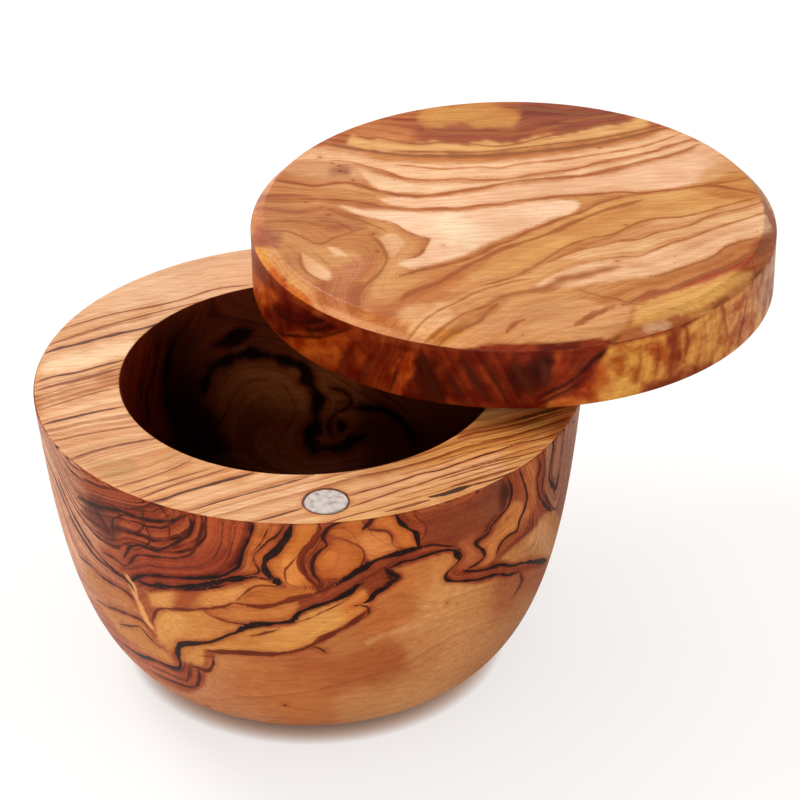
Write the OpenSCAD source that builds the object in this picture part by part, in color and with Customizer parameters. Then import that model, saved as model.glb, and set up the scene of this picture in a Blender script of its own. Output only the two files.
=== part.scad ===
// Round wooden salt keeper with a swivel lid.
// Millimetres, +Z up. The origin is the centre of the bowl's flat foot, on the surface it stands on.
// The magnets sit at the front (-Y) and the pivot at the back (+Y).
// The bowl and the pieces fixed in it stand still. The lid, its sleeve and its magnet turn about the pivot.

/* [Bowl] */
// Diameter across the rim
bowl_d = 105; // [96:1:125]
// Height from the foot to the rim
bowl_h = 60; // [50:1:80]
// Diameter of the flat foot
foot_d = 52; // [40:1:58]
// Radius of the turned heel between the foot and the side
heel_r = 18; // [12:1:20]
// Angle below level at which the side meets the heel
heel_angle = 45; // [35:1:50]
// Inward lean of the side where it leaves the rim, in degrees
side_lean = 4.8; // [0:0.2:8]
// How far the side holds the rim's lean, as a share of its chord
upper_pull = 0.37; // [0.3:0.01:0.45]
// How far the side holds the heel's slope, as a share of its chord
lower_pull = 0.245; // [0.2:0.005:0.3]
// Softened edge on the outside of the rim
rim_edge = 0.4; // [0.2:0.1:0.8]

/* [Well] */
// Width of the flat rim between the mouth and the outside
rim_land = 16.5; // [15:0.5:20]
// Thickness of the floor under the well
floor_t = 10; // [6:1:16]
// Radius of the cove between the well's wall and its floor
cove_r = 16; // [8:1:20]
// Inward lean of the well's wall, in degrees
well_lean = 1; // [0:0.5:2]
// Softened edge of the mouth
mouth_edge = 0.4; // [0.2:0.1:1]

/* [Lid] */
// Thickness of the lid
lid_h = 15; // [13:0.5:22]
// How far the lid reaches past the rim all round
lid_overhang = 0; // [0:0.5:3]
// Chamfer round the lid's top
lid_chamfer = 2.6; // [1:0.2:4]
// Softened edge round the lid's underside
lid_edge = 0.4; // [0.2:0.1:0.8]
// Angle that the lid is swung open from closed
swing = 74; // [0:1:180]

/* [Swivel] */
// Distance of the pivot and the magnets in from the rim's outside
pivot_inset = 7.1; // [6.5:0.1:8]
// Diameter of the steel pin
pin_d = 4; // [3:0.5:5]
// Depth of the pin in the bowl
pin_in_bowl = 18; // [10:1:24]
// Length of the pin inside the lid
pin_in_lid = 9; // [6:0.5:10]
// Chamfer on the pin's ends
pin_chamfer = 0.5; // [0.3:0.1:0.8]
// Wall of the brass sleeve
sleeve_wall = 1; // [0.5:0.1:1.2]
// Running clearance round the pin, on the radius
run_gap = 0.04; // [0.02:0.01:0.1]
// Room above the pin's end inside the lid
end_gap = 1; // [0.5:0.1:2]
// Thickness of the washer that carries the lid
washer_h = 0.8; // [0.5:0.1:1.5]
// Width of the washer's face round the pin
washer_land = 4; // [3:0.5:4]

/* [Magnets] */
// Diameter of each magnet
magnet_d = 8; // [6:0.5:10]
// Thickness of each magnet
magnet_h = 3; // [2:0.5:5]
// Glue line round each magnet, on the radius
glue_gap = 0.1; // [0.05:0.05:0.2]
// Softened edge of each magnet
magnet_edge = 0.2; // [0.1:0.05:0.3]

/* [Hidden] */
$fn = 96;
large_fn = 192;

// Points along each stretch of the outlines
side_steps = 14;
heel_steps = 6;
cove_steps = 8;

// How far a cutter runs out past the face that it enters
run_out = 1;

bowl_r = bowl_d / 2;
foot_r = foot_d / 2;
mouth_r = bowl_r - rim_land;
lid_r = bowl_r + lid_overhang;
pivot_reach = bowl_r - pivot_inset;
pin_r = pin_d / 2;
bore_r = pin_r + run_gap;
sleeve_r = bore_r + sleeve_wall;
washer_r = bore_r + washer_land;
magnet_r = magnet_d / 2;
pocket_r = magnet_r + glue_gap;

lid_z = bowl_h + washer_h;
socket_h = pin_in_lid + end_gap;
pin_foot_z = bowl_h - pin_in_bowl;
pin_h = pin_in_bowl + washer_h + pin_in_lid;

// Outside of the bowl: a spline from the rim that runs into the heel's arc, then the flat foot
rim_pt = [bowl_r, bowl_h - rim_edge];
heel_pt = [foot_r + heel_r * cos(heel_angle), heel_r * (1 - sin(heel_angle))];
chord = norm(rim_pt - heel_pt);
upper_pt = rim_pt - upper_pull * chord * [sin(side_lean), cos(side_lean)];
lower_pt = heel_pt + lower_pull * chord * [sin(heel_angle), cos(heel_angle)];

function spline(a, b, c, d, t) =
    pow(1 - t, 3) * a + 3 * pow(1 - t, 2) * t * b + 3 * (1 - t) * t * t * c + pow(t, 3) * d;

function arc(centre, r, from, to, steps) =
    [for (i = [0 : steps]) let (a = from + (to - from) * i / steps) centre + r * [cos(a), sin(a)]];

side_pts = [for (i = [0 : side_steps - 1]) spline(rim_pt, upper_pt, lower_pt, heel_pt, i / side_steps)];
heel_pts = arc([foot_r, heel_r], heel_r, -heel_angle, -90, heel_steps);

// Inside of the bowl: a leaning wall, a cove and a level floor
cove_z = floor_t + cove_r;
wall_drop = bowl_h - cove_z + cove_r * sin(well_lean);
cove_x = mouth_r - wall_drop * tan(well_lean) - cove_r * cos(well_lean);
cove_pts = arc([cove_x, cove_z], cove_r, -90, -well_lean, cove_steps);
mouth_pts = [
    [mouth_r - mouth_edge * tan(well_lean), bowl_h - mouth_edge],
    [mouth_r + mouth_edge, bowl_h]
];

module bowl_section() {
    polygon(concat(
        [[0, floor_t]],
        cove_pts,
        mouth_pts,
        [[bowl_r - rim_edge, bowl_h]],
        side_pts,
        heel_pts,
        [[0, 0]]
    ));
}

module lid_section() {
    polygon([
        [0, 0],
        [lid_r - lid_edge, 0],
        [lid_r, lid_edge],
        [lid_r, lid_h - lid_chamfer],
        [lid_r - lid_chamfer, lid_h],
        [0, lid_h]
    ]);
}

// A rod or disc with both ends chamfered, standing on z = 0
module chamfered_rod(r, h, c) {
    rotate_extrude()
        polygon([[0, 0], [r - c, 0], [r, c], [r, h - c], [r - c, h], [0, h]]);
}

module ring(outer_r, inner_r, h) {
    rotate_extrude()
        translate([inner_r, 0])
            square([outer_r - inner_r, h]);
}

// A round hole that opens downwards through z = 0
module socket(r, h) {
    translate([0, 0, -run_out])
        cylinder(r = r, h = h + run_out);
}

// Places a piece that is drawn at the origin on the pivot's axis
module at_pivot(z) {
    translate([0, pivot_reach, z])
        children();
}

// Places a piece that is drawn at the origin on the magnets' axis, as it lies with the lid closed
module at_magnet(z) {
    translate([0, -pivot_reach, z])
        children();
}

// Turns what belongs to the lid, drawn where it lies with the lid closed, to its swung rest pose
module swung() {
    at_pivot(lid_z)
        rotate([0, 0, swing])
            translate([0, -pivot_reach, 0])
                children();
}

module bowl() {
    color("peru")
        difference() {
            rotate_extrude($fn = large_fn)
                bowl_section();
            at_pivot(pin_foot_z)
                cylinder(r = pin_r, h = pin_in_bowl + run_out);
            at_magnet(bowl_h - magnet_h)
                cylinder(r = pocket_r, h = magnet_h + run_out);
        }
}

module lid() {
    color("burlywood")
        swung()
            difference() {
                rotate_extrude($fn = large_fn)
                    lid_section();
                at_pivot(0)
                    socket(sleeve_r, socket_h);
                at_magnet(0)
                    socket(pocket_r, magnet_h);
            }
}

module pivot_pin() {
    color("slategray")
        at_pivot(pin_foot_z)
            chamfered_rod(pin_r, pin_h, pin_chamfer);
}

module pivot_sleeve() {
    color("goldenrod")
        swung()
            at_pivot(0)
                ring(sleeve_r, bore_r, socket_h);
}

module pivot_washer() {
    color("dimgray")
        at_pivot(bowl_h)
            ring(washer_r, bore_r, washer_h);
}

module bowl_magnet() {
    color("silver")
        at_magnet(bowl_h - magnet_h)
            chamfered_rod(magnet_r, magnet_h, magnet_edge);
}

module lid_magnet() {
    color("silver")
        swung()
            at_magnet(0)
                chamfered_rod(magnet_r, magnet_h, magnet_edge);
}

bowl();
lid();
pivot_pin();
pivot_sleeve();
pivot_washer();
bowl_magnet();
lid_magnet();
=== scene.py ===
import math

import bpy
import numpy as np
from mathutils import Matrix, Vector
from mathutils.bvhtree import BVHTree


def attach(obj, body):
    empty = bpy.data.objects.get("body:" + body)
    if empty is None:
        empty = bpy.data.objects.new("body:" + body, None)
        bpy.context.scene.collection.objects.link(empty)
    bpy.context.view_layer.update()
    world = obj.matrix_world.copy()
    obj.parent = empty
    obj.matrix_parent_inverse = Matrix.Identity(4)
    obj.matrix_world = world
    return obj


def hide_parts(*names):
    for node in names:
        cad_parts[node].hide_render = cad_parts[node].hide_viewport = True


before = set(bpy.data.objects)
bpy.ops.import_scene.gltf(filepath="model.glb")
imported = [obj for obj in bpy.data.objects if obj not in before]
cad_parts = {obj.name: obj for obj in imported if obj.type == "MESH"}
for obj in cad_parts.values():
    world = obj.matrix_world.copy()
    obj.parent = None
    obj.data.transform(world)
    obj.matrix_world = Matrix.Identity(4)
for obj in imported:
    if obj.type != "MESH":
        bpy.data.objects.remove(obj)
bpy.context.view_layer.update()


# The camera that took the photograph, fitted to the rim, the mouth, the magnet and the lid
photoCamera = {
    "azimuth": -5.197,
    "elevation": 31.086,
    "roll": -0.685,
    "distance": 0.56183,
    "aim": (0.017535, 0.0, 0.0527),
    "focalPixels": 2905.5,
    "imageSide": 800,
    "sensorWidth": 36.0,
    "clip": (0.01, 20.0),
}


def cameraAxes():
    azimuth, elevation, roll = (
        math.radians(photoCamera[key]) for key in ("azimuth", "elevation", "roll")
    )
    level = math.cos(elevation)
    back = Vector((math.sin(azimuth) * level, -math.cos(azimuth) * level, math.sin(elevation)))
    right = (-back).cross(Vector((0, 0, 1))).normalized()
    up = right.cross(-back)
    turnedRight = right * math.cos(roll) + up * math.sin(roll)
    turnedUp = up * math.cos(roll) - right * math.sin(roll)
    place = Vector(photoCamera["aim"]) + back * photoCamera["distance"]
    return place, turnedRight, turnedUp, back


cameraPlace, cameraRight, cameraUp, cameraBack = cameraAxes()


def pixelRay(pixel):
    half = photoCamera["imageSide"] / 2
    across = (pixel[0] - half) / photoCamera["focalPixels"]
    upward = (half - pixel[1]) / photoCamera["focalPixels"]
    return (cameraRight * across + cameraUp * upward - cameraBack).normalized()


def addCamera():
    bpy.ops.object.camera_add()
    camera = bpy.context.object
    camera.name = "photoCamera"
    turn = Matrix((cameraRight, cameraUp, cameraBack)).transposed().to_4x4()
    camera.matrix_world = Matrix.Translation(cameraPlace) @ turn
    camera.data.sensor_width = photoCamera["sensorWidth"]
    share = photoCamera["sensorWidth"] / photoCamera["imageSide"]
    camera.data.lens = photoCamera["focalPixels"] * share
    camera.data.clip_start, camera.data.clip_end = photoCamera["clip"]
    bpy.context.scene.camera = camera


addCamera()
print("camera placed")


def fromSrgb(colour):
    linear = [
        c / 12.92 if c <= 0.04045 else ((c + 0.055) / 1.055) ** 2.4
        for c in (channel / 255 for channel in colour)
    ]
    return (*linear, 1.0)


def newMaterial(name):
    material = bpy.data.materials.new(name)
    material.use_nodes = True
    material.node_tree.nodes.clear()
    return material, material.node_tree


def addNode(tree, kind, inputs=None, **settings):
    node = tree.nodes.new(kind)
    for key, value in settings.items():
        setattr(node, key, value)
    for key, value in (inputs or {}).items():
        if isinstance(value, bpy.types.NodeSocket):
            tree.links.new(value, node.inputs[key])
        else:
            node.inputs[key].default_value = value
    return node


def maths(tree, operation, *values):
    return addNode(
        tree, "ShaderNodeMath", dict(enumerate(values)), operation=operation
    ).outputs[0]


def ramp(tree, value, fromMin, fromMax, toMin=0.0, toMax=1.0, kind="SMOOTHSTEP"):
    ends = {"From Min": fromMin, "From Max": fromMax, "To Min": toMin, "To Max": toMax}
    ends["Value"] = value
    return addNode(
        tree, "ShaderNodeMapRange", ends, interpolation_type=kind, clamp=True
    ).outputs[0]


def mixColour(tree, share, first, second, blend="MIX"):
    node = addNode(tree, "ShaderNodeMix", data_type="RGBA", blend_type=blend, clamp_result=True)
    for key, value in ((0, share), (6, first), (7, second)):
        if isinstance(value, bpy.types.NodeSocket):
            tree.links.new(value, node.inputs[key])
        else:
            node.inputs[key].default_value = value
    return node.outputs[2]


def objectNoise(tree, place, stretch, scale, detail=2.0, roughness=0.5, shift=(0, 0, 0), turn=(0, 0, 0)):
    moved = addNode(
        tree, "ShaderNodeMapping", {"Vector": place, "Location": shift, "Rotation": turn, "Scale": stretch}
    )
    noise = addNode(
        tree,
        "ShaderNodeTexNoise",
        {"Vector": moved.outputs[0], "Scale": scale, "Detail": detail, "Roughness": roughness},
    )
    return noise.outputs["Fac"]


# Floor and light. The world shows white to the camera and in reflections, and lights the object at its own
# level.
studio = {
    "floorColour": (250, 247, 245),
    "floorSide": 6.0,
    "floorGlow": 0.945,
    "floorShare": 0.18,
    # The contact reach and colour and the near reach and shade shape a painted contact shadow and painted
    # shade on the floor's glow.
    "contactReach": 0.0038,
    "contactShadowColour": (255, 204, 172),
    "nearReach": 0.05,
    "nearShade": 0.24,
    "worldLevel": 0.16,
    "lamps": {
        "backLeftKey": {"place": (-0.6, 0.62, 1), "side": 0.5, "power": 17, "colour": (1, 0.985, 0.96)},
        "sheen": {"place": (-0.12, 1.15, 0.78), "side": 0.14, "power": 1.3, "colour": (1, 0.98, 0.96)},
        "lowFront": {"place": (-0.35, -1.2, 0.26), "side": 0.7, "power": 12, "colour": (1, 0.99, 0.98)},
        "rightFill": {"place": (1.1, -0.5, 0.35), "side": 0.6, "power": 4, "colour": (1, 0.99, 0.98)},
    },
    "lampAim": (0.02, 0.0, 0.04),
}


def addWorld():
    world = bpy.data.worlds.new("studioWorld")
    bpy.context.scene.world = world
    world.use_nodes = True
    tree = world.node_tree
    tree.nodes.clear()
    path = addNode(tree, "ShaderNodeLightPath").outputs
    seen = maths(tree, "MAXIMUM", path["Is Camera Ray"], path["Is Glossy Ray"])
    seen = maths(tree, "MAXIMUM", seen, path["Is Transmission Ray"])
    plain = addNode(
        tree, "ShaderNodeBackground", {"Color": (1, 1, 1, 1), "Strength": studio["worldLevel"]}
    )
    white = addNode(tree, "ShaderNodeBackground", {"Color": (1, 1, 1, 1), "Strength": 1.0})
    mixed = addNode(tree, "ShaderNodeMixShader", {0: seen, 1: plain.outputs[0], 2: white.outputs[0]})
    addNode(tree, "ShaderNodeOutputWorld", {"Surface": mixed.outputs[0]})


def addLamps():
    aim = Vector(studio["lampAim"])
    for name, lamp in studio["lamps"].items():
        bpy.ops.object.light_add(type="AREA", location=lamp["place"])
        light = bpy.context.object
        light.name = name
        light.data.shape = "SQUARE"
        light.data.size = lamp["side"]
        light.data.energy = lamp["power"]
        light.data.color = lamp["colour"]
        light.rotation_mode = "QUATERNION"
        light.rotation_quaternion = (aim - light.location).to_track_quat("-Z", "Y")


def addFloor():
    bpy.ops.object.select_all(action="DESELECT")
    bpy.ops.mesh.primitive_plane_add(size=studio["floorSide"], location=(0, 0, 0))
    floor = bpy.context.object
    floor.name = "floor"
    material, tree = newMaterial("paleFloor")
    colour = fromSrgb(studio["floorColour"])
    seen = addNode(tree, "ShaderNodeLightPath").outputs["Is Camera Ray"]
    shown = mixColour(tree, seen, colour, [part * studio["floorShare"] for part in colour[:3]] + [1])
    paint = addNode(tree, "ShaderNodeBsdfDiffuse", {"Color": shown, "Roughness": 0.0})
    # Ambient occlusion dims the floor's glow next to the object and warms it towards the contact colour: a
    # painted contact shadow. Within the near reach it is darkened further: painted shade.
    clear = addNode(tree, "ShaderNodeAmbientOcclusion", {"Distance": studio["contactReach"]}).outputs["AO"]
    around = addNode(tree, "ShaderNodeAmbientOcclusion", {"Distance": studio["nearReach"]}).outputs["AO"]
    lift = maths(tree, "MULTIPLY", maths(tree, "MULTIPLY", seen, clear), studio["floorGlow"])
    hidden = ramp(tree, around, 1.0, 0.0, 0.0, studio["nearShade"], kind="LINEAR")
    paintedShadowColour = mixColour(tree, ramp(tree, clear, 1.0, 0.2), colour, fromSrgb(studio["contactShadowColour"]))
    paintedShadowColour = mixColour(tree, hidden, paintedShadowColour, (0.0, 0.0, 0.0, 1.0))
    glow = addNode(tree, "ShaderNodeEmission", {"Color": paintedShadowColour, "Strength": lift})
    both = addNode(tree, "ShaderNodeAddShader", {0: paint.outputs[0], 1: glow.outputs[0]})
    addNode(tree, "ShaderNodeOutputMaterial", {"Surface": both.outputs[0]})
    floor.data.materials.append(material)


bpy.context.scene.view_settings.view_transform = "Standard"
addWorld()
addLamps()
addFloor()
print("floor and lamps set")


# Turned outlines, in metres, with the same named values as the part's source
bowl = {
    "rimRadius": 0.0525,
    "height": 0.060,
    "footRadius": 0.026,
    "heelRadius": 0.018,
    "heelAngle": 45.0,
    "sideLean": 4.8,
    "upperPull": 0.37,
    "lowerPull": 0.245,
    "rimEdge": 0.0004,
    "mouthRadius": 0.036,
    "floorThickness": 0.010,
    "coveRadius": 0.016,
    "wellLean": 1.0,
    "mouthEdge": 0.0004,
    "sideRings": 104,
    "heelRings": 16,
    "footRings": 5,
    "edgeRings": 4,
    "rimRings": 30,
    "wallRings": 18,
    "coveRings": 10,
    "floorRings": 6,
    "nearSteps": 330,
    "farSteps": 160,
    "nearSweep": 190.0,
}
swivel = {
    "reach": 0.0454,
    "pinRadius": 0.002,
    "pinInBowl": 0.018,
    "sleeveRadius": 0.00304,
    "socketDepth": 0.010,
    "pocketRadius": 0.0041,
    "magnetHeight": 0.003,
    "washerHeight": 0.0008,
    "swing": 74.0,
    "runOut": 0.001,
    "cutterSides": 96,
}
lid = {
    "radius": 0.05249,
    "height": 0.015,
    "chamfer": 0.0026,
    "softCorner": 0.0005,
    "underEdge": 0.0004,
    "cornerRings": 4,
    "topRings": 104,
    "chamferRings": 6,
    "sideRings": 24,
    "underRings": 12,
    "nearSteps": 330,
    "farSteps": 170,
    "nearSweep": 190.0,
}


samePlace = 1e-6


def arcPoints(centre, radius, start, end, count):
    angles = [math.radians(start + (end - start) * step / count) for step in range(count + 1)]
    return [(centre[0] + radius * math.cos(a), centre[1] + radius * math.sin(a)) for a in angles]


def linePoints(start, end, count):
    return [
        (start[0] + (end[0] - start[0]) * step / count, start[1] + (end[1] - start[1]) * step / count)
        for step in range(count + 1)
    ]


def splinePoints(a, b, c, d, count):
    points = []
    for step in range(count + 1):
        t = step / count
        shares = ((1 - t) ** 3, 3 * (1 - t) ** 2 * t, 3 * (1 - t) * t * t, t ** 3)
        points.append(tuple(sum(s * p[axis] for s, p in zip(shares, (a, b, c, d))) for axis in (0, 1)))
    return points


def joined(*stretches):
    points = [stretches[0][0]]
    for stretch in stretches:
        for point in stretch:
            if math.dist(point, points[-1]) > samePlace:
                points.append(point)
    return points


def bowlOutline():
    b = bowl
    angle, lean = math.radians(b["heelAngle"]), math.radians(b["sideLean"])
    rimPoint = (b["rimRadius"], b["height"] - b["rimEdge"])
    heelPoint = (
        b["footRadius"] + b["heelRadius"] * math.cos(angle),
        b["heelRadius"] * (1 - math.sin(angle)),
    )
    chord = math.dist(rimPoint, heelPoint)
    upper, lower = b["upperPull"] * chord, b["lowerPull"] * chord
    upperPoint = (rimPoint[0] - upper * math.sin(lean), rimPoint[1] - upper * math.cos(lean))
    lowerPoint = (heelPoint[0] + lower * math.sin(angle), heelPoint[1] + lower * math.cos(angle))
    side = splinePoints(rimPoint, upperPoint, lowerPoint, heelPoint, b["sideRings"])
    heel = arcPoints(
        (b["footRadius"], b["heelRadius"]), b["heelRadius"], -b["heelAngle"], -90, b["heelRings"]
    )
    foot = linePoints((b["footRadius"], 0), (0, 0), b["footRings"])
    wellLean = math.radians(b["wellLean"])
    coveTop = b["floorThickness"] + b["coveRadius"]
    drop = b["height"] - coveTop + b["coveRadius"] * math.sin(wellLean)
    coveCentre = b["mouthRadius"] - drop * math.tan(wellLean) - b["coveRadius"] * math.cos(wellLean)
    floor = linePoints((0, b["floorThickness"]), (coveCentre, b["floorThickness"]), b["floorRings"])
    cove = arcPoints((coveCentre, coveTop), b["coveRadius"], -90, -b["wellLean"], b["coveRings"])
    mouthLow = (
        b["mouthRadius"] - b["mouthEdge"] * math.tan(wellLean),
        b["height"] - b["mouthEdge"],
    )
    wall = linePoints(cove[-1], mouthLow, b["wallRings"])
    mouthCentre = (b["mouthRadius"] + b["mouthEdge"], b["height"] - b["mouthEdge"])
    mouth = arcPoints(mouthCentre, b["mouthEdge"], 180, 90, b["edgeRings"])
    rim = linePoints(mouth[-1], (b["rimRadius"] - b["rimEdge"], b["height"]), b["rimRings"])
    edge = arcPoints(
        (b["rimRadius"] - b["rimEdge"], b["height"] - b["rimEdge"]), b["rimEdge"], 90, 0, b["edgeRings"]
    )
    return joined(floor, cove, wall, mouth, rim, edge, side, heel, foot)


def lidOutline():
    d = lid
    corner, chamfer = d["softCorner"], d["chamfer"]
    under = linePoints((0, 0), (d["radius"] - d["underEdge"], 0), d["underRings"])
    underEdge = arcPoints(
        (d["radius"] - d["underEdge"], d["underEdge"]), d["underEdge"], -90, 0, d["cornerRings"]
    )
    reach = corner * math.tan(math.radians(45 / 2))
    lowCorner = (d["radius"], d["height"] - chamfer)
    highCorner = (d["radius"] - chamfer, d["height"])
    side = linePoints(underEdge[-1], (lowCorner[0], lowCorner[1] - reach), d["sideRings"])
    lowArc = arcPoints((d["radius"] - corner, lowCorner[1] - reach), corner, 0, 45, d["cornerRings"])
    highArc = arcPoints((highCorner[0] - reach, d["height"] - corner), corner, 45, 90, d["cornerRings"])
    slant = linePoints(lowArc[-1], highArc[0], d["chamferRings"])
    top = linePoints(highArc[-1], (0, d["height"]), d["topRings"])
    return joined(under, underEdge, side, lowArc, slant, highArc, top)


def selectAll():
    bpy.ops.mesh.select_mode(type="VERT")
    bpy.ops.mesh.select_all(action="SELECT")


def turnOutline(name, outline, piece, facing):
    sweep = math.radians(piece["nearSweep"])
    halves = []
    stretches = (
        (facing - sweep / 2, sweep, piece["nearSteps"]),
        (facing + sweep / 2, math.tau - sweep, piece["farSteps"]),
    )
    for start, angle, steps in stretches:
        away = (math.cos(start), math.sin(start))
        first = (outline[0][0] * away[0], outline[0][0] * away[1], outline[0][1])
        bpy.ops.object.select_all(action="DESELECT")
        bpy.ops.mesh.primitive_plane_add(size=0.01, location=first)
        half = bpy.context.object
        bpy.ops.object.mode_set(mode="EDIT")
        selectAll()
        bpy.ops.mesh.merge(type="CENTER")
        for before, after in zip(outline, outline[1:]):
            out = after[0] - before[0]
            step = (out * away[0], out * away[1], after[1] - before[1])
            bpy.ops.mesh.extrude_vertices_move(TRANSFORM_OT_translate={"value": step})
        bpy.ops.object.mode_set(mode="OBJECT")
        bpy.ops.object.transform_apply(location=True, rotation=True, scale=True)
        turn = half.modifiers.new("turn", "SCREW")
        turn.axis = "Z"
        turn.angle = angle
        turn.steps = turn.render_steps = steps
        turn.screw_offset = 0
        bpy.ops.object.modifier_apply(modifier=turn.name)
        halves.append(half)
    bpy.ops.object.select_all(action="DESELECT")
    for half in halves:
        half.select_set(True)
    bpy.context.view_layer.objects.active = halves[0]
    bpy.ops.object.join()
    made = bpy.context.object
    made.name = name
    made.data.name = name
    bpy.ops.object.mode_set(mode="EDIT")
    selectAll()
    bpy.ops.mesh.remove_doubles(threshold=samePlace)
    selectAll()
    bpy.ops.mesh.normals_make_consistent(inside=False)
    bpy.ops.object.mode_set(mode="OBJECT")
    return made


def cutRound(piece, radius, low, high, centre):
    bpy.ops.object.select_all(action="DESELECT")
    place = (centre[0], centre[1], (low + high) / 2)
    bpy.ops.mesh.primitive_cylinder_add(
        vertices=swivel["cutterSides"], radius=radius, depth=high - low, location=place
    )
    cutter = bpy.context.object
    bpy.ops.object.select_all(action="DESELECT")
    bpy.context.view_layer.objects.active = piece
    piece.select_set(True)
    cut = piece.modifiers.new("roundCut", "BOOLEAN")
    cut.operation = "DIFFERENCE"
    cut.solver = "EXACT"
    cut.object = cutter
    bpy.ops.object.modifier_apply(modifier=cut.name)
    bpy.data.objects.remove(cutter)


def smoothShade(piece, angle=32):
    bpy.ops.object.select_all(action="DESELECT")
    bpy.context.view_layer.objects.active = piece
    piece.select_set(True)
    bpy.ops.object.shade_smooth_by_angle(angle=math.radians(angle))


cameraFacing = math.atan2(cameraBack.y, cameraBack.x)
swing = math.radians(swivel["swing"])
openWay = Vector((math.sin(swing), -math.cos(swing), 0))
pivotPlace = Vector((0, swivel["reach"], 0))
lidLow = bowl["height"] + swivel["washerHeight"]
lidCentre = pivotPlace + openWay * swivel["reach"] + Vector((0, 0, lidLow))
lidMagnetPlace = pivotPlace + openWay * (2 * swivel["reach"])


def makeBowl():
    piece = turnOutline("turnedBowl", bowlOutline(), bowl, cameraFacing)
    top, out = bowl["height"], swivel["runOut"]
    magnetPlace = (0, -swivel["reach"])
    cutRound(piece, swivel["pocketRadius"], top - swivel["magnetHeight"], top + out, magnetPlace)
    cutRound(piece, swivel["pinRadius"], top - swivel["pinInBowl"], top + out, pivotPlace)
    smoothShade(piece)
    return piece


def makeLid():
    piece = turnOutline("turnedLid", lidOutline(), lid, cameraFacing)
    piece.location = lidCentre
    bpy.ops.object.transform_apply(location=True, rotation=True, scale=True)
    low, out = lidLow, swivel["runOut"]
    cutRound(piece, swivel["sleeveRadius"], low - out, low + swivel["socketDepth"], pivotPlace)
    cutRound(piece, swivel["pocketRadius"], low - out, low + swivel["magnetHeight"], lidMagnetPlace)
    smoothShade(piece)
    return piece


turnedBowl = makeBowl()
turnedLid = makeLid()
print("bowl and lid turned", len(turnedBowl.data.polygons), len(turnedLid.data.polygons))


# Wood figure, in millimetres. Veins and tints are drawn over the photograph, laid on the turned surface
# along the camera's rays, and kept as attributes of its corners: a level that follows the growth lines, the
# way to the nearest vein, and the wood's colour, with painted highlights, painted sheen and painted shade in
# a few places. What the camera doesn't see takes the figure folded round.
perMetre = 1000
figure = {
    "tintWaver": 1.8,
    "areaWaver": 0.5,
    "pathStep": 1.6,
    "fitStep": 1.3,
    "centreStep": 2.6,
    "bendWeight": 0.35,
    "holdWeight": 0.02,
    "fieldScale": 30.0,
    "reach": 7.0,
    "farAway": 9.0,
    "endTaper": 2.5,
    "endShare": 0.35,
    "areaSoftness": 2.2,
    "outlineStep": 2.5,
    "slide": 11.0,
    "slideReach": 0.07,
    "levelBatch": 8000,
    "nearBatch": 20000,
    "leastPoints": 3,
}


def curveThrough(points, step):
    if len(points) == 1:
        return np.array(points, float)
    ends = [points[0], *points, points[-1]]
    curve = []
    for a, b, c, d in zip(ends, ends[1:], ends[2:], ends[3:]):
        a, b, c, d = (np.array(p, float) for p in (a, b, c, d))
        count = max(2, int(np.linalg.norm(c - b) / step))
        for t in np.arange(count) / count:
            square, cube = 2 * a - 5 * b + 4 * c - d, 3 * b - a - 3 * c + d
            curve.append(0.5 * (2 * b + (c - a) * t + square * t * t + cube * t ** 3))
    curve.append(np.array(points[-1], float))
    return np.array(curve)


def pixelsOf(places):
    out = places / perMetre - np.array(cameraPlace)
    depth = -(out @ np.array(cameraBack))
    across, up = out @ np.array(cameraRight), out @ np.array(cameraUp)
    half, scale = photoCamera["imageSide"] / 2, photoCamera["focalPixels"]
    return np.stack([half + scale * across / depth, half - scale * up / depth], axis=1)


def layOnSurface(surface, points, keep):
    places, normals = [], []
    for pixel in curveThrough(points, figure["pathStep"]):
        place, normal, _, _ = surface.ray_cast(cameraPlace, pixelRay(pixel))
        if place is not None and keep(place * perMetre):
            places.append(np.array(place) * perMetre)
            normals.append(np.array(normal))
    return np.array(places), np.array(normals)


def alongCurve(places, normals):
    tangents = np.gradient(places, axis=0)
    tangents /= np.maximum(np.linalg.norm(tangents, axis=1), 1e-9)[:, None]
    sideways = np.cross(tangents, normals)
    sideways /= np.maximum(np.linalg.norm(sideways, axis=1), 1e-9)[:, None]
    lengths = np.concatenate([[0], np.cumsum(np.linalg.norm(np.diff(places, axis=0), axis=1))])
    return tangents, sideways, lengths


def layVeins(surface, veins, keep):
    laid = []
    for name, vein in veins.items():
        places, normals = layOnSurface(surface, vein["path"], keep)
        if len(places) < figure["leastPoints"]:
            print("vein left out", name)
            continue
        tangents, sideways, lengths = alongCurve(places, normals)
        toEnd = np.minimum(lengths, lengths[-1] - lengths) / figure["endTaper"]
        taper = figure["endShare"] + (1 - figure["endShare"]) * np.clip(toEnd, 0, 1)
        laid.append(
            {
                "places": places,
                "tangents": tangents,
                "sideways": sideways,
                "lengths": lengths,
                "half": vein["half"] * taper,
                "tone": vein["tone"],
                "soft": vein.get("soft", 0),
                "drawn": vein["half"] > 0,
                "guides": vein.get("guides", True),
            }
        )
    return laid


def laySpots(surface, spots, keep):
    laid = []
    for x, y, half, tone in spots:
        places, normals = layOnSurface(surface, ((x - 0.5, y), (x, y), (x + 0.5, y)), keep)
        if len(places) < figure["leastPoints"]:
            continue
        tangents, sideways, lengths = alongCurve(places, normals)
        spot = {"places": places, "tangents": tangents, "sideways": sideways, "lengths": lengths}
        spot.update(half=np.full(len(places), half), tone=tone, soft=0, drawn=True, guides=False)
        laid.append(spot)
    return laid


def thinOut(lengths, step):
    chosen, last = [0], 0.0
    for index, length in enumerate(lengths):
        if length - last >= step:
            chosen.append(index)
            last = length
    return chosen


def distances(places, centres):
    squares = (places ** 2).sum(1)[:, None] + (centres ** 2).sum(1)[None] - 2 * places @ centres.T
    return np.sqrt(np.maximum(squares, 1e-12))


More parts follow.
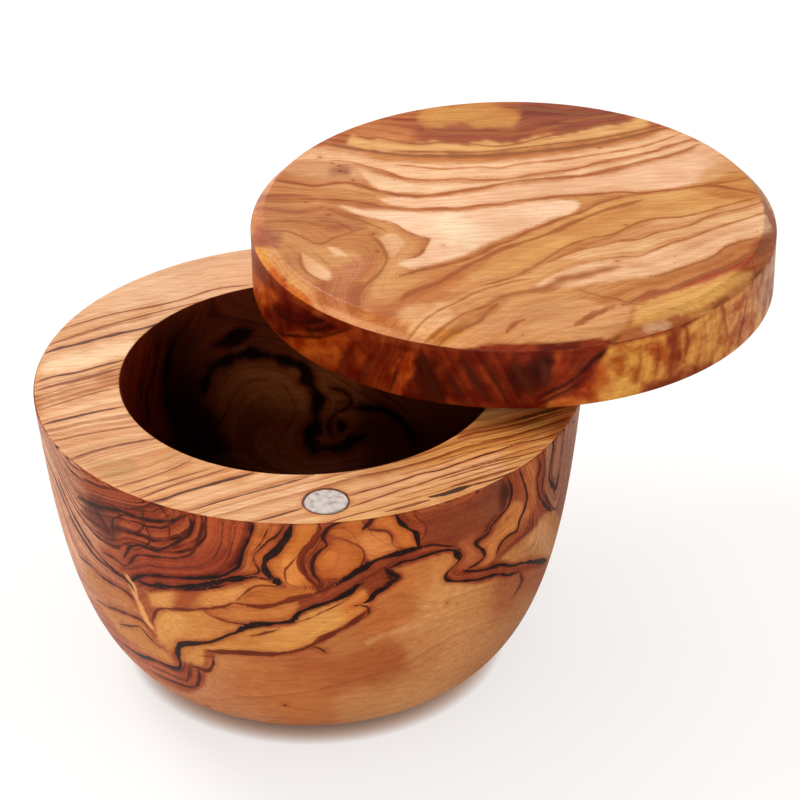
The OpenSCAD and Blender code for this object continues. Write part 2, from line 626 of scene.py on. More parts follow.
def fitLevels(laid):
    size = figure["fieldScale"]
    guides = [vein for vein in laid if vein["guides"]]
    centres, points, tangents, sideways = [], [], [], []
    for vein in guides:
        centres.append(vein["places"][thinOut(vein["lengths"], figure["centreStep"])])
        chosen = thinOut(vein["lengths"], figure["fitStep"])
        points.append(vein["places"][chosen])
        tangents.append(vein["tangents"][chosen])
        sideways.append(vein["sideways"][chosen])
    centres = np.concatenate(centres) / size
    points, tangents, sideways = (np.concatenate(group) for group in (points, tangents, sideways))
    points = points / size
    away = points[:, None] - centres[None]
    distance = np.linalg.norm(away, axis=2)

    def slopes(direction):
        bent = 3 * distance * (away * direction[:, None]).sum(2)
        return np.concatenate([bent, direction], axis=1)

    bend = figure["bendWeight"]
    rows = [slopes(tangents), slopes(sideways) * bend]
    hold = np.eye(len(centres) + 3) * figure["holdWeight"]
    hold[-3:] = 0
    matrix = np.concatenate([*rows, hold])
    goal = np.concatenate([np.zeros(len(points)), np.full(len(points), bend * size), np.zeros(len(hold))])
    weights = np.linalg.lstsq(matrix, goal, rcond=None)[0]
    return centres, weights


def levelsAt(fitted, places):
    centres, weights = fitted
    scaled = places / figure["fieldScale"]
    levels = np.empty(len(places))
    batch = figure["levelBatch"]
    for start in range(0, len(places), batch):
        part = scaled[start : start + batch]
        levels[start : start + batch] = distances(part, centres) ** 3 @ weights[:-3] + part @ weights[-3:]
    return levels


def nearestOn(places, curve):
    near = np.empty(len(places), int)
    batch = figure["nearBatch"]
    for start in range(0, len(places), batch):
        part = places[start : start + batch]
        near[start : start + batch] = ((curve ** 2).sum(1)[None] - 2 * part @ curve.T).argmin(1)
    return near


def offsetsFrom(vein, places):
    chosen = nearestOn(places, vein["places"])
    out = places - vein["places"][chosen]
    sideways, tangents = vein["sideways"][chosen], vein["tangents"][chosen]
    across = (out * sideways).sum(1)[:, None] * sideways
    along = (out * tangents).sum(1)
    past = ((chosen == 0) & (along < 0)) | ((chosen == len(vein["places"]) - 1) & (along > 0))
    across[past] += along[past, None] * tangents[past]
    return across, vein["half"][chosen]


# Each face takes the one vein that is nearest to its middle, and its corners their offsets from that vein
def nearestVeins(laid, middles, corners, faceOf):
    best = np.full(len(middles), figure["farAway"])
    owner = np.full(len(middles), -1)
    for index, vein in enumerate(laid):
        if not vein["drawn"]:
            continue
        low, high = vein["places"].min(0) - figure["reach"], vein["places"].max(0) + figure["reach"]
        inside = np.nonzero(((middles > low) & (middles < high)).all(1))[0]
        if len(inside):
            across, half = offsetsFrom(vein, middles[inside])
            left = np.linalg.norm(across, axis=1) - half
            closer = left < best[inside]
            best[inside[closer]] = left[closer]
            owner[inside[closer]] = index
    offsets = np.full((len(corners), 3), figure["farAway"])
    half, tone, soft = np.zeros(len(corners)), np.zeros(len(corners)), np.zeros(len(corners))
    ownerOfCorner = owner[faceOf]
    for index in np.unique(owner[owner >= 0]):
        mine = np.nonzero(ownerOfCorner == index)[0]
        offsets[mine], half[mine] = offsetsFrom(laid[index], corners[mine])
        tone[mine], soft[mine] = laid[index]["tone"], laid[index]["soft"]
    return offsets, half, tone, soft


def strokesOver(ground, tints, pixels):
    weight = ground.get("weight", 0.05)
    colour = np.tile(np.array(fromSrgb(ground["colour"])[:3]) * weight, (len(pixels), 1))
    lines = np.full(len(pixels), ground["lines"] * weight)
    total = np.full(len(pixels), weight)
    for tint in tints:
        curve = curveThrough(tint["path"], figure["pathStep"])
        out = np.linalg.norm(pixels - curve[nearestOn(pixels, curve)], axis=1) / tint["radius"]
        share = tint.get("weight", 1.0) * np.exp(-(out ** tint.get("edge", 2.0)))
        colour += share[:, None] * np.array(fromSrgb(tint["colour"])[:3])
        lines += share * tint.get("lines", ground["lines"])
        total += share
    return colour / total[:, None], lines / total


def insideOutline(outline, pixels, softness):
    points = curveThrough([*outline, outline[0]], figure["outlineStep"])
    x, y = pixels[:, 0], pixels[:, 1]
    low, high = points.min(0) - softness, points.max(0) + softness
    near = np.nonzero((x > low[0]) & (x < high[0]) & (y > low[1]) & (y < high[1]))[0]
    share = np.zeros(len(pixels))
    if not len(near):
        return share
    part = pixels[near]
    crossings = np.zeros(len(part), int)
    for (ax, ay), (bx, by) in zip(points, np.roll(points, -1, axis=0)):
        spans = (ay > part[:, 1]) != (by > part[:, 1])
        if ay != by:
            crossings += spans & (part[:, 0] < (bx - ax) * (part[:, 1] - ay) / (by - ay) + ax)
    away = np.linalg.norm(part - points[nearestOn(part, points)], axis=1)
    signed = np.where(crossings % 2 == 1, away, -away)
    share[near] = np.clip(0.5 + signed / (2 * softness), 0, 1)
    return share


# Drawn edges waver slowly, as grown ones do
def wavered(pixels, reach):
    x, y = pixels.T
    across = np.sin(0.21 * y + 1.3 * np.sin(0.11 * x)) + 0.4 * np.sin(0.43 * x + 0.5 * y)
    along = np.sin(0.13 * x + 1.5 * np.sin(0.19 * y)) + 0.4 * np.sin(0.51 * y - 0.35 * x)
    return pixels + reach * np.column_stack((across, along))


def tintAt(region, pixels):
    soft, pixels = wavered(pixels, figure["tintWaver"]), wavered(pixels, figure["areaWaver"])
    colour, lines = strokesOver(region["ground"], region["tints"].values(), soft)
    for area in region.get("areas", {}).values():
        share = insideOutline(area["outline"], pixels, area.get("softness", figure["areaSoftness"]))
        inner, innerLines = strokesOver(area, area["tints"], soft)
        colour += share[:, None] * (inner - colour)
        lines += share * (innerLines - lines)
    return colour, lines


def foldRound(places, centre, facing, limits):
    out = places - centre
    reach = np.hypot(out[:, 0], out[:, 1])
    turn = np.arctan2(out[:, 1], out[:, 0]) - facing
    turn = (turn + math.pi) % math.tau - math.pi
    limit = np.radians(np.interp(places[:, 2] - centre[2], *limits))
    beyond = np.sign(turn) * limit * (math.pi - np.abs(turn)) / (math.pi - limit)
    turned = np.where(np.abs(turn) > limit, beyond, turn) + facing
    folded = places.copy()
    folded[:, 0] = centre[0] + reach * np.cos(turned)
    folded[:, 1] = centre[1] + reach * np.sin(turned)
    past = np.clip((np.abs(turn) - limit) / (math.pi - limit), 0, 1)
    return folded, past


def drawFigure(piece, regions):
    mesh = piece.data
    flat = np.empty(len(mesh.vertices) * 3)
    mesh.vertices.foreach_get("co", flat)
    places = flat.reshape(-1, 3) * perMetre
    corners = np.empty(len(mesh.loops), int)
    mesh.loops.foreach_get("vertex_index", corners)
    sizes = np.empty(len(mesh.polygons), int)
    mesh.polygons.foreach_get("loop_total", sizes)
    faceOf = np.repeat(np.arange(len(sizes)), sizes)
    middles = np.empty((len(sizes), 3))
    for axis in range(3):
        middles[:, axis] = np.bincount(faceOf, places[corners, axis]) / sizes
    surface = BVHTree.FromObject(piece, bpy.context.evaluated_depsgraph_get())
    names = ("grainLevel", "veinHalf", "veinTone", "veinSoft", "lineStrength")
    kept = {name: np.zeros(len(corners)) for name in names}
    offsets = np.full((len(corners), 3), figure["farAway"])
    tint = np.ones((len(corners), 4))
    materialOf = np.zeros(len(sizes), np.int32)
    for region in regions:
        faces = np.nonzero(region["holds"](middles))[0]
        mine = np.nonzero(np.isin(faceOf, faces))[0]
        points, whichPoint = np.unique(corners[mine], return_inverse=True)
        shown = region["fold"](places[points])
        laid = layVeins(surface, region["veins"], region["keep"])
        levels = levelsAt(fitLevels(laid), shown)
        laid += laySpots(surface, region.get("spots", ()), region["keep"])
        faceNumber = np.searchsorted(faces, faceOf[mine])
        found = nearestVeins(laid, region["fold"](middles[faces]), shown[whichPoint], faceNumber)
        offsets[mine], kept["veinHalf"][mine], kept["veinTone"][mine], kept["veinSoft"][mine] = found
        kept["grainLevel"][mine] = levels[whichPoint]
        colour, lines = tintAt(region, pixelsOf(shown))
        tint[mine, :3] = colour[whichPoint]
        kept["lineStrength"][mine] = lines[whichPoint]
        print("figure drawn on", region["name"], len(faces))
        materialOf[faces] = len(mesh.materials)
        mesh.materials.append(oliveWood(region["name"] + "Olive", region["wood"]))
    mesh.polygons.foreach_set("material_index", materialOf)
    for name, values in kept.items():
        attribute = mesh.attributes.new(name, "FLOAT", "CORNER")
        attribute.data.foreach_set("value", values.astype(np.float32))
    attribute = mesh.attributes.new("veinOffset", "FLOAT_VECTOR", "CORNER")
    attribute.data.foreach_set("vector", offsets.astype(np.float32).ravel())
    attribute = mesh.attributes.new("woodTintWithPaintedLight", "FLOAT_COLOR", "CORNER")
    attribute.data.foreach_set("color", tint.astype(np.float32).ravel())


def stay(places):
    return places


# The figure is drawn in pixels of the photograph. A vein has a half width in millimetres and a tone, from 0
# for brown to 1 for black. The growth lines follow veins and guides, and not marks. A stroke tints what lies
# within about its radius, and an area what its outline encloses. A spot is a dark pore, given as x, y, half
# width and tone.
def vein(half, tone, path, **more):
    return {"half": half, "tone": tone, "path": path, **more}


def mark(half, tone, path, **more):
    return vein(half, tone, path, guides=False, **more)


def guide(path):
    return vein(0, 1, path)


def stroke(colour, radius, path, **more):
    return {"colour": colour, "radius": radius, "path": path, **more}


def area(colour, lines, outline, tints=(), **more):
    return {"colour": colour, "lines": lines, "outline": outline, "tints": tints, **more}


# Bowl's side
sideVeins = {
    "innerBlack": vein(0.36, 1, [(133, 580), (140, 576), (150, 575), (170, 577), (190, 578), (212, 578),
        (222, 576), (230, 572), (238, 567), (240, 560), (243, 551), (247, 543), (251, 533), (253, 521)]),
    "thickBand": vein(0.62, 1, [(139, 581), (148, 585), (160, 586), (175, 587), (190, 587), (210, 584),
        (225, 580), (240, 578), (256, 577)]),
    "bandFoot": vein(0.22, 1, [(150, 591), (158, 588), (175, 589), (190, 590), (212, 588), (228, 584)]),
    "pitLink": vein(0.3, 1, [(254, 578), (266, 579), (276, 581)]),
    "pitVein": vein(0.68, 1, [(278, 581), (271, 578), (266, 572), (264, 565), (267, 558), (275, 552),
        (282, 544), (288, 534), (293, 521)]),
    "pit": mark(0.95, 1, [(276, 581), (278, 582), (280, 583)]),
    "midVein": vein(0.24, 0.9, [(240, 576), (255, 574), (259, 570), (255, 563), (254, 556), (260, 549),
        (268, 541), (276, 536), (284, 526)]),
    "midVeinLeft": vein(0.17, 0.8, [(254, 566), (252, 558), (255, 551), (261, 543), (266, 533),
        (272, 522)]),
    "goldTop": vein(0.36, 0.3, [(152, 623), (155, 613), (160, 609), (175, 609), (190, 610), (200, 609),
        (212, 608), (225, 606), (234, 603), (246, 605), (258, 606), (270, 605), (285, 602), (300, 598),
        (315, 594), (326, 589), (335, 583), (342, 578)]),
    "goldTopHeavy": mark(0.6, 0.25, [(246, 606), (258, 607), (270, 606), (284, 602), (298, 598),
        (312, 594)]),
    "goldBranch": vein(0.28, 0.3, [(234, 603), (242, 596), (250, 589), (258, 586), (270, 586), (281, 587)]),
    "goldLower": vein(0.24, 0.3, [(203, 611), (212, 616), (225, 621), (240, 624), (254, 624)]),
    "loopBroad": vein(0.62, 0.2, [(319, 593), (318, 587), (310, 580), (303, 571), (300, 560), (305, 550),
        (313, 542), (319, 531), (318, 521)]),
    "loopThin": vein(0.2, 0.3, [(296, 586), (287, 583), (285, 572), (290, 564), (300, 554)]),
    "eyeLeft": vein(0.34, 0.9, [(321, 588), (319, 580), (314, 575), (312, 567), (314, 558), (320, 551),
        (327, 545), (323, 537), (328, 528), (336, 524), (348, 521)]),
    "eyeRight": vein(0.24, 0.3, [(333, 536), (345, 540), (357, 545), (364, 552), (363, 562), (355, 569)]),
    "eyeFoot": vein(0.16, 0.4, [(320, 579), (334, 579), (346, 577)]),
    "mainUpper": vein(0.68, 1, [(336, 585), (343, 580), (350, 576), (358, 571), (367, 566), (377, 560),
        (388, 556), (400, 553), (412, 550), (422, 547)]),
    "mainTop": vein(0.26, 0.9, [(418, 548), (432, 545), (445, 546), (457, 548), (464, 554)]),
    "mainLower": vein(0.36, 1, [(388, 569), (400, 563), (412, 560), (425, 556), (437, 552), (450, 550),
        (458, 552), (461, 557), (457, 563), (450, 570), (445, 576), (448, 580), (460, 581), (475, 580),
        (490, 576), (500, 574), (508, 575), (520, 571)]),
    "mainBlot": mark(0.95, 1, [(454, 551), (458, 556), (460, 560)]),
    "wedge": mark(0.8, 1, [(385, 568), (391, 573), (398, 578), (391, 583), (383, 588)], soft=0.3),
    "wedgeTail": vein(0.66, 1, [(355, 606), (362, 604), (369, 600), (375, 593), (385, 588), (394, 583)]),
    "wedgeHook": mark(0.55, 0.7, [(357, 605), (368, 607), (369, 614)]),
    "betweenMains": vein(0.3, 0.5, [(352, 586), (362, 580), (374, 574), (385, 567), (396, 560)]),
    "lowBlack": vein(0.58, 1, [(125, 645), (140, 655), (152, 659), (160, 662), (168, 666), (175, 668),
        (180, 667), (180, 661), (178, 655), (178, 649), (183, 644), (200, 643), (213, 641), (225, 636),
        (237, 632), (245, 627), (260, 624), (280, 623), (292, 621), (298, 614), (310, 608), (325, 603),
        (340, 598), (350, 592), (357, 586), (362, 583)]),
    "lowThin": vein(0.18, 0.4, [(296, 622), (310, 618), (325, 611), (340, 604), (352, 596)]),
    "lens": mark(0.36, 0.35, [(251, 636), (262, 634), (275, 631), (280, 628)]),
    "bottomBrown": vein(0.62, 0.35, [(206, 650), (220, 652), (245, 653), (270, 654), (285, 653), (300, 650),
        (312, 645), (322, 638), (334, 633), (350, 624), (365, 613)]),
    "bottomHook": mark(0.45, 0.7, [(213, 655), (213, 665), (207, 671), (199, 668), (192, 666)]),
    "knee": mark(0.42, 0.95, [(310, 648), (318, 648), (326, 652)]),
    "hookOuter": vein(0.32, 0.85, [(150, 670), (160, 676), (172, 681), (183, 685), (192, 687), (198, 684),
        (200, 676), (198, 668)]),
    "hookInner": vein(0.26, 0.85, [(155, 668), (170, 674), (180, 679), (187, 681), (189, 674), (189, 666)]),
    "leftA": vein(0.42, 0.85, [(59, 481), (71, 510), (80, 527), (88, 540), (100, 556), (112, 568),
        (124, 578), (130, 584), (134, 591)]),
    "leftB": vein(0.34, 0.85, [(80, 557), (92, 567), (100, 575), (110, 582), (125, 591), (134, 600)]),
    "leftC": vein(0.3, 0.75, [(97, 599), (105, 605), (117, 610), (130, 615), (141, 620), (147, 626),
        (153, 633)]),
    "leftD": vein(0.28, 0.8, [(120, 624), (130, 626), (140, 627), (148, 636), (157, 645), (163, 648)]),
    "smokeBand": vein(0.42, 0.95, [(78, 497), (90, 503), (100, 507), (120, 511), (140, 518), (157, 521),
        (173, 520), (187, 515), (197, 513)], soft=0.25),
    "smokeDrop": mark(0.7, 0.85, [(96, 510), (103, 522), (112, 536)], soft=0.5),
    "smokeLoop": mark(0.18, 0.9, [(113, 536), (113, 520), (127, 515), (138, 519), (143, 527), (135, 533),
        (124, 532), (118, 527)]),
    "smokeFall": mark(0.2, 0.8, [(143, 503), (143, 520), (150, 536), (146, 546), (130, 550)]),
    "archFirst": mark(0.22, 0.7, [(120, 512), (127, 509), (140, 508), (150, 504), (156, 503), (163, 510),
        (168, 518), (169, 530), (168, 540), (160, 546)]),
    "archSecond": vein(0.42, 0.9, [(124, 558), (126, 553), (130, 547), (138, 545), (148, 548), (157, 550),
        (172, 545), (182, 540), (189, 535), (192, 527), (190, 520), (187, 512)]),
    "archThird": vein(0.3, 0.8, [(103, 552), (110, 556), (118, 561), (124, 566), (129, 564), (134, 558),
        (140, 555), (150, 556), (175, 558), (187, 556), (193, 552), (196, 545), (200, 535), (203, 524),
        (201, 514)]),
    "archSmall": mark(0.18, 0.5, [(120, 530), (125, 529), (132, 531), (138, 530), (143, 526), (142, 518)]),
    "archFourth": vein(0.2, 0.5, [(118, 570), (130, 569), (150, 566), (175, 568), (200, 566), (214, 558),
        (220, 545), (222, 530), (222, 518)]),
    "archFifth": vein(0.16, 0.4, [(205, 572), (222, 566), (230, 552), (234, 536), (236, 522)]),
    "topPatch": mark(0.75, 0.85, [(373, 519), (368, 525), (363, 529)]),
    "topPatchTail": mark(0.24, 0.5, [(362, 529), (374, 530), (386, 531), (392, 537), (393, 545),
        (403, 550)]),
    "blackDrop": mark(0.5, 1, [(396, 514), (401, 523), (408, 528), (415, 533), (418, 540), (419, 548)]),
    "redDrop": mark(0.26, 0.45, [(413, 511), (418, 518), (424, 524), (426, 532), (421, 541)]),
    "rightSmoke": mark(1.1, 0.8, [(502, 480), (505, 490), (505, 500), (502, 510)], soft=0.8),
    "rightSmokeFoot": mark(0.6, 0.8, [(496, 516), (489, 525), (485, 533), (479, 539)], soft=0.5),
    "rightDark": vein(0.34, 0.95, [(464, 571), (470, 568), (478, 563), (484, 557), (483, 550), (475, 543),
        (481, 538), (488, 533), (492, 525), (500, 516), (507, 508), (511, 498), (511, 487), (506, 474)]),
    "rightMid": vein(0.36, 0.9, [(496, 556), (500, 545), (507, 537), (517, 530), (520, 520), (525, 507),
        (527, 495), (523, 480), (519, 468)]),
    "rightMidOuter": vein(0.24, 0.6, [(500, 557), (508, 550), (518, 540), (528, 532), (533, 520)]),
    "rightOuter": vein(0.36, 0.95, [(552, 511), (545, 505), (539, 495), (537, 480), (540, 466),
        (537, 454)]),
    "rightOuterFar": vein(0.24, 0.8, [(553, 509), (547, 500), (542, 488), (545, 470), (543, 448)]),
    "rightStraight": vein(0.12, 0.3, [(566, 428), (564, 450), (561, 474), (558, 500), (553, 525)]),
    "rightStraightFar": vein(0.12, 0.3, [(573, 424), (571, 448), (568, 472), (563, 500), (558, 525)]),
    "rightEdge": vein(0.2, 0.5, [(556, 500), (551, 475), (553, 455), (558, 434)]),
    "rightKnot": mark(0.6, 0.9, [(550, 480), (553, 486), (554, 492)]),
    "mainRight": vein(0.55, 1, [(463, 571), (475, 571), (487, 569), (500, 565), (512, 566), (522, 563),
        (545, 561), (557, 560)]),
    "rightLoop": mark(0.45, 0.6, [(519, 571), (522, 580), (518, 589), (514, 596)]),
    "plainUpper": guide([(215, 672), (290, 676), (360, 656), (420, 632), (470, 612), (515, 604)]),
    "plainMiddle": guide([(170, 692), (240, 702), (320, 700), (400, 682), (450, 656), (490, 634)]),
    "plainLower": guide([(240, 722), (300, 722), (360, 714), (410, 700)]),
}
sideTints = {
    # The pale stroke along the left silhouette is a painted sheen.
    "leftEdgeSheen": stroke((232, 178, 142), 14, [(48, 445), (58, 500), (78, 555), (100, 590)], lines=1.3),
    "redHeart": stroke((172, 84, 46), 20, [(130, 500), (175, 530), (150, 535)], lines=1.1),
    "redHeartLow": stroke((156, 66, 36), 10, [(140, 568), (180, 570), (225, 560)], lines=0.8),
    "redTop": stroke((178, 86, 44), 12, [(215, 525), (240, 535)], lines=0.9),
    "goldTop": stroke((204, 120, 58), 8, [(262, 528), (256, 560)], lines=0.6),
    "smoke": stroke((112, 54, 38), 7, [(94, 508), (104, 518), (110, 532)], lines=0.6, weight=1.4),
    "leftLow": stroke((184, 104, 60), 18, [(95, 580), (118, 615), (145, 655)], lines=0.9),
    "centreRed": stroke((142, 66, 34), 10, [(300, 606), (330, 595), (365, 575), (400, 556)], lines=0.8),
}
# Patches of one colour that the veins bound
sideAreas = {
    "plain": area((186, 122, 70), 0.2, [(96, 640), (125, 652), (150, 675), (185, 692), (203, 684),
        (214, 656), (245, 655), (285, 655), (312, 648), (336, 634), (352, 626), (368, 615), (373, 600),
        (388, 590), (403, 579), (394, 571), (402, 566), (437, 555), (455, 553), (458, 562), (446, 573),
        (448, 581), (475, 583), (500, 577), (520, 573), (562, 562), (590, 560), (560, 680), (470, 745),
        (340, 755), (180, 740), (90, 690)], [
        stroke((206, 146, 88), 22, [(440, 592), (470, 592)]),
        stroke((198, 126, 64), 14, [(405, 585), (425, 572), (445, 566)]),
        stroke((184, 110, 56), 16, [(385, 615), (400, 600)]),
        stroke((172, 98, 58), 13, [(505, 598), (515, 582), (540, 572)]),
        stroke((192, 132, 90), 20, [(190, 708), (240, 715)]),
        stroke((184, 112, 60), 20, [(260, 690), (310, 700)]),
        stroke((172, 98, 54), 12, [(305, 668), (345, 678), (390, 662)]),
        stroke((200, 144, 90), 17, [(360, 712), (405, 700), (440, 680)]),
        stroke((200, 140, 88), 18, [(430, 640), (480, 640)]),
        stroke((192, 132, 82), 14, [(500, 640), (520, 610)]),
        stroke((204, 150, 100), 1.6, [(366, 641), (410, 629), (443, 624), (487, 625)], weight=0.6),
    ]),
    "goldUpper": area((200, 130, 62), 0.3, [(146, 592), (175, 591), (212, 591), (240, 585), (258, 580),
        (276, 584), (281, 588), (262, 589), (250, 592), (240, 600), (232, 604), (212, 607), (190, 609),
        (160, 608), (152, 606)], [
        stroke((162, 78, 38), 8, [(182, 600), (186, 598)]),
        stroke((214, 152, 84), 8, [(158, 599), (166, 600)]),
        stroke((212, 146, 78), 8, [(214, 599), (230, 594)]),
    ]),
    "goldBranch": area((190, 112, 50), 0.4, [(236, 604), (246, 597), (262, 590), (281, 589), (296, 588),
        (312, 590), (319, 595), (300, 598), (285, 601), (270, 605), (250, 605)]),
    "amberTongue": area((192, 112, 46), 0.3, [(297, 521), (292, 535), (284, 547), (276, 555), (270, 563),
        (272, 571), (279, 577), (284, 582), (288, 586), (300, 586), (310, 586), (303, 573), (299, 561),
        (304, 550), (312, 542), (317, 533), (316, 521)], [
        stroke((222, 144, 72), 6, [(292, 576), (290, 566)]),
    ]),
    "eye": area((182, 98, 40), 0.35, [(329, 545), (345, 541), (358, 546), (364, 553), (362, 563),
        (352, 572), (345, 577), (335, 579), (322, 577), (315, 566), (316, 556), (322, 550)], [
        stroke((192, 108, 48), 8, [(340, 556), (346, 566)]),
    ]),
    "overEye": area((188, 106, 46), 0.4, [(326, 530), (345, 522), (362, 519), (364, 529), (386, 532),
        (392, 540), (402, 549), (388, 555), (372, 562), (366, 556), (362, 549), (350, 542), (334, 537)], [
        stroke((216, 140, 76), 8, [(372, 546), (384, 548)]),
    ]),
    "drop": area((202, 118, 54), 0.4, [(380, 516), (398, 518), (410, 530), (416, 537), (418, 547),
        (407, 549), (396, 542), (392, 533), (382, 528), (372, 525)]),
    "goldBand": area((198, 132, 66), 0.2, [(154, 622), (157, 612), (175, 611), (200, 611), (212, 617),
        (226, 622), (246, 626), (236, 632), (225, 636), (212, 640), (198, 642), (184, 643), (178, 649),
        (170, 652), (160, 644), (156, 634)], [
        stroke((214, 154, 82), 7, [(166, 628), (175, 624)]),
    ]),
    "goldLens": area((194, 120, 60), 0.4, [(206, 611), (232, 605), (258, 607), (283, 603), (298, 600),
        (296, 612), (290, 620), (262, 623), (246, 623), (228, 620)]),
    "goldLow": area((200, 138, 70), 0.2, [(184, 645), (200, 645), (213, 643), (225, 638), (246, 630),
        (262, 627), (280, 626), (294, 624), (300, 617), (312, 611), (325, 606), (340, 601), (352, 595),
        (362, 589), (370, 599), (364, 612), (350, 622), (334, 631), (320, 640), (310, 645), (298, 649),
        (284, 652), (262, 652), (240, 651), (215, 651), (204, 652), (203, 666), (192, 664), (182, 660),
        (180, 650)], [
        stroke((214, 154, 82), 8, [(280, 641), (310, 630), (335, 616)]),
        stroke((206, 128, 62), 6, [(350, 612), (364, 600)]),
    ]),
    "neck": area((150, 74, 42), 0.4, [(420, 512), (440, 508), (470, 498), (500, 480), (506, 500),
        (494, 520), (482, 538), (476, 545), (482, 552), (478, 562), (466, 570), (462, 555), (455, 548),
        (440, 544), (424, 545), (426, 530)], [
        stroke((132, 62, 34), 12, [(445, 528), (465, 515)]),
        stroke((128, 68, 44), 12, [(500, 486), (498, 505)]),
        stroke((176, 98, 54), 6, [(470, 546), (470, 560)]),
    ]),
    "spring": area((204, 130, 68), 0.5, [(509, 505), (518, 500), (525, 510), (519, 528), (506, 538),
        (499, 548), (494, 560), (480, 566), (487, 555), (479, 546), (491, 536), (501, 520)]),
    "stripe": area((198, 116, 60), 0.7, [(522, 468), (534, 460), (537, 480), (537, 498), (531, 515),
        (522, 515), (527, 495), (524, 480)]),
    "pale": area((204, 142, 84), 0.5, [(498, 560), (510, 549), (530, 533), (546, 514), (560, 510),
        (562, 560), (522, 563)], [
        stroke((222, 168, 112), 7, [(536, 530), (545, 545)]),
    ]),
    "farEdge": area((178, 118, 84), 1.2, [(545, 446), (585, 415), (590, 560), (558, 515), (548, 500)]),
    "leftGold": area((196, 130, 76), 0.5, [(84, 564), (92, 570), (100, 578), (110, 585), (125, 594),
        (134, 603), (139, 612), (147, 624), (141, 618), (130, 613), (117, 608), (105, 603), (97, 596),
        (88, 580)]),
    "leftGoldLow": area((202, 138, 74), 0.4, [(99, 603), (106, 608), (117, 613), (130, 618), (141, 623),
        (148, 632), (156, 642), (164, 650), (172, 658), (174, 664), (164, 662), (152, 656), (140, 648),
        (126, 638), (114, 626)]),
    "slit": area((236, 186, 124), 0.1, [(125, 573), (131, 579), (136, 590), (139, 603), (133, 594),
        (128, 584)], softness=1.2),
    "slitLow": area((228, 168, 100), 0.1, [(137, 600), (143, 606), (149, 620), (153, 630), (145, 622),
        (139, 610)], softness=1.2),
}
sideSpots = ((277, 582, 0.85, 1), (573, 422, 0.45, 1), (552, 485, 0.7, 1), (208, 706, 0.16, 0.9),
    (278, 655, 0.18, 0.9), (285, 705, 0.22, 1), (447, 603, 0.16, 0.8), (114, 639, 0.16, 0.9),
    (96, 572, 0.2, 0.9), (507, 518, 0.14, 0.8))
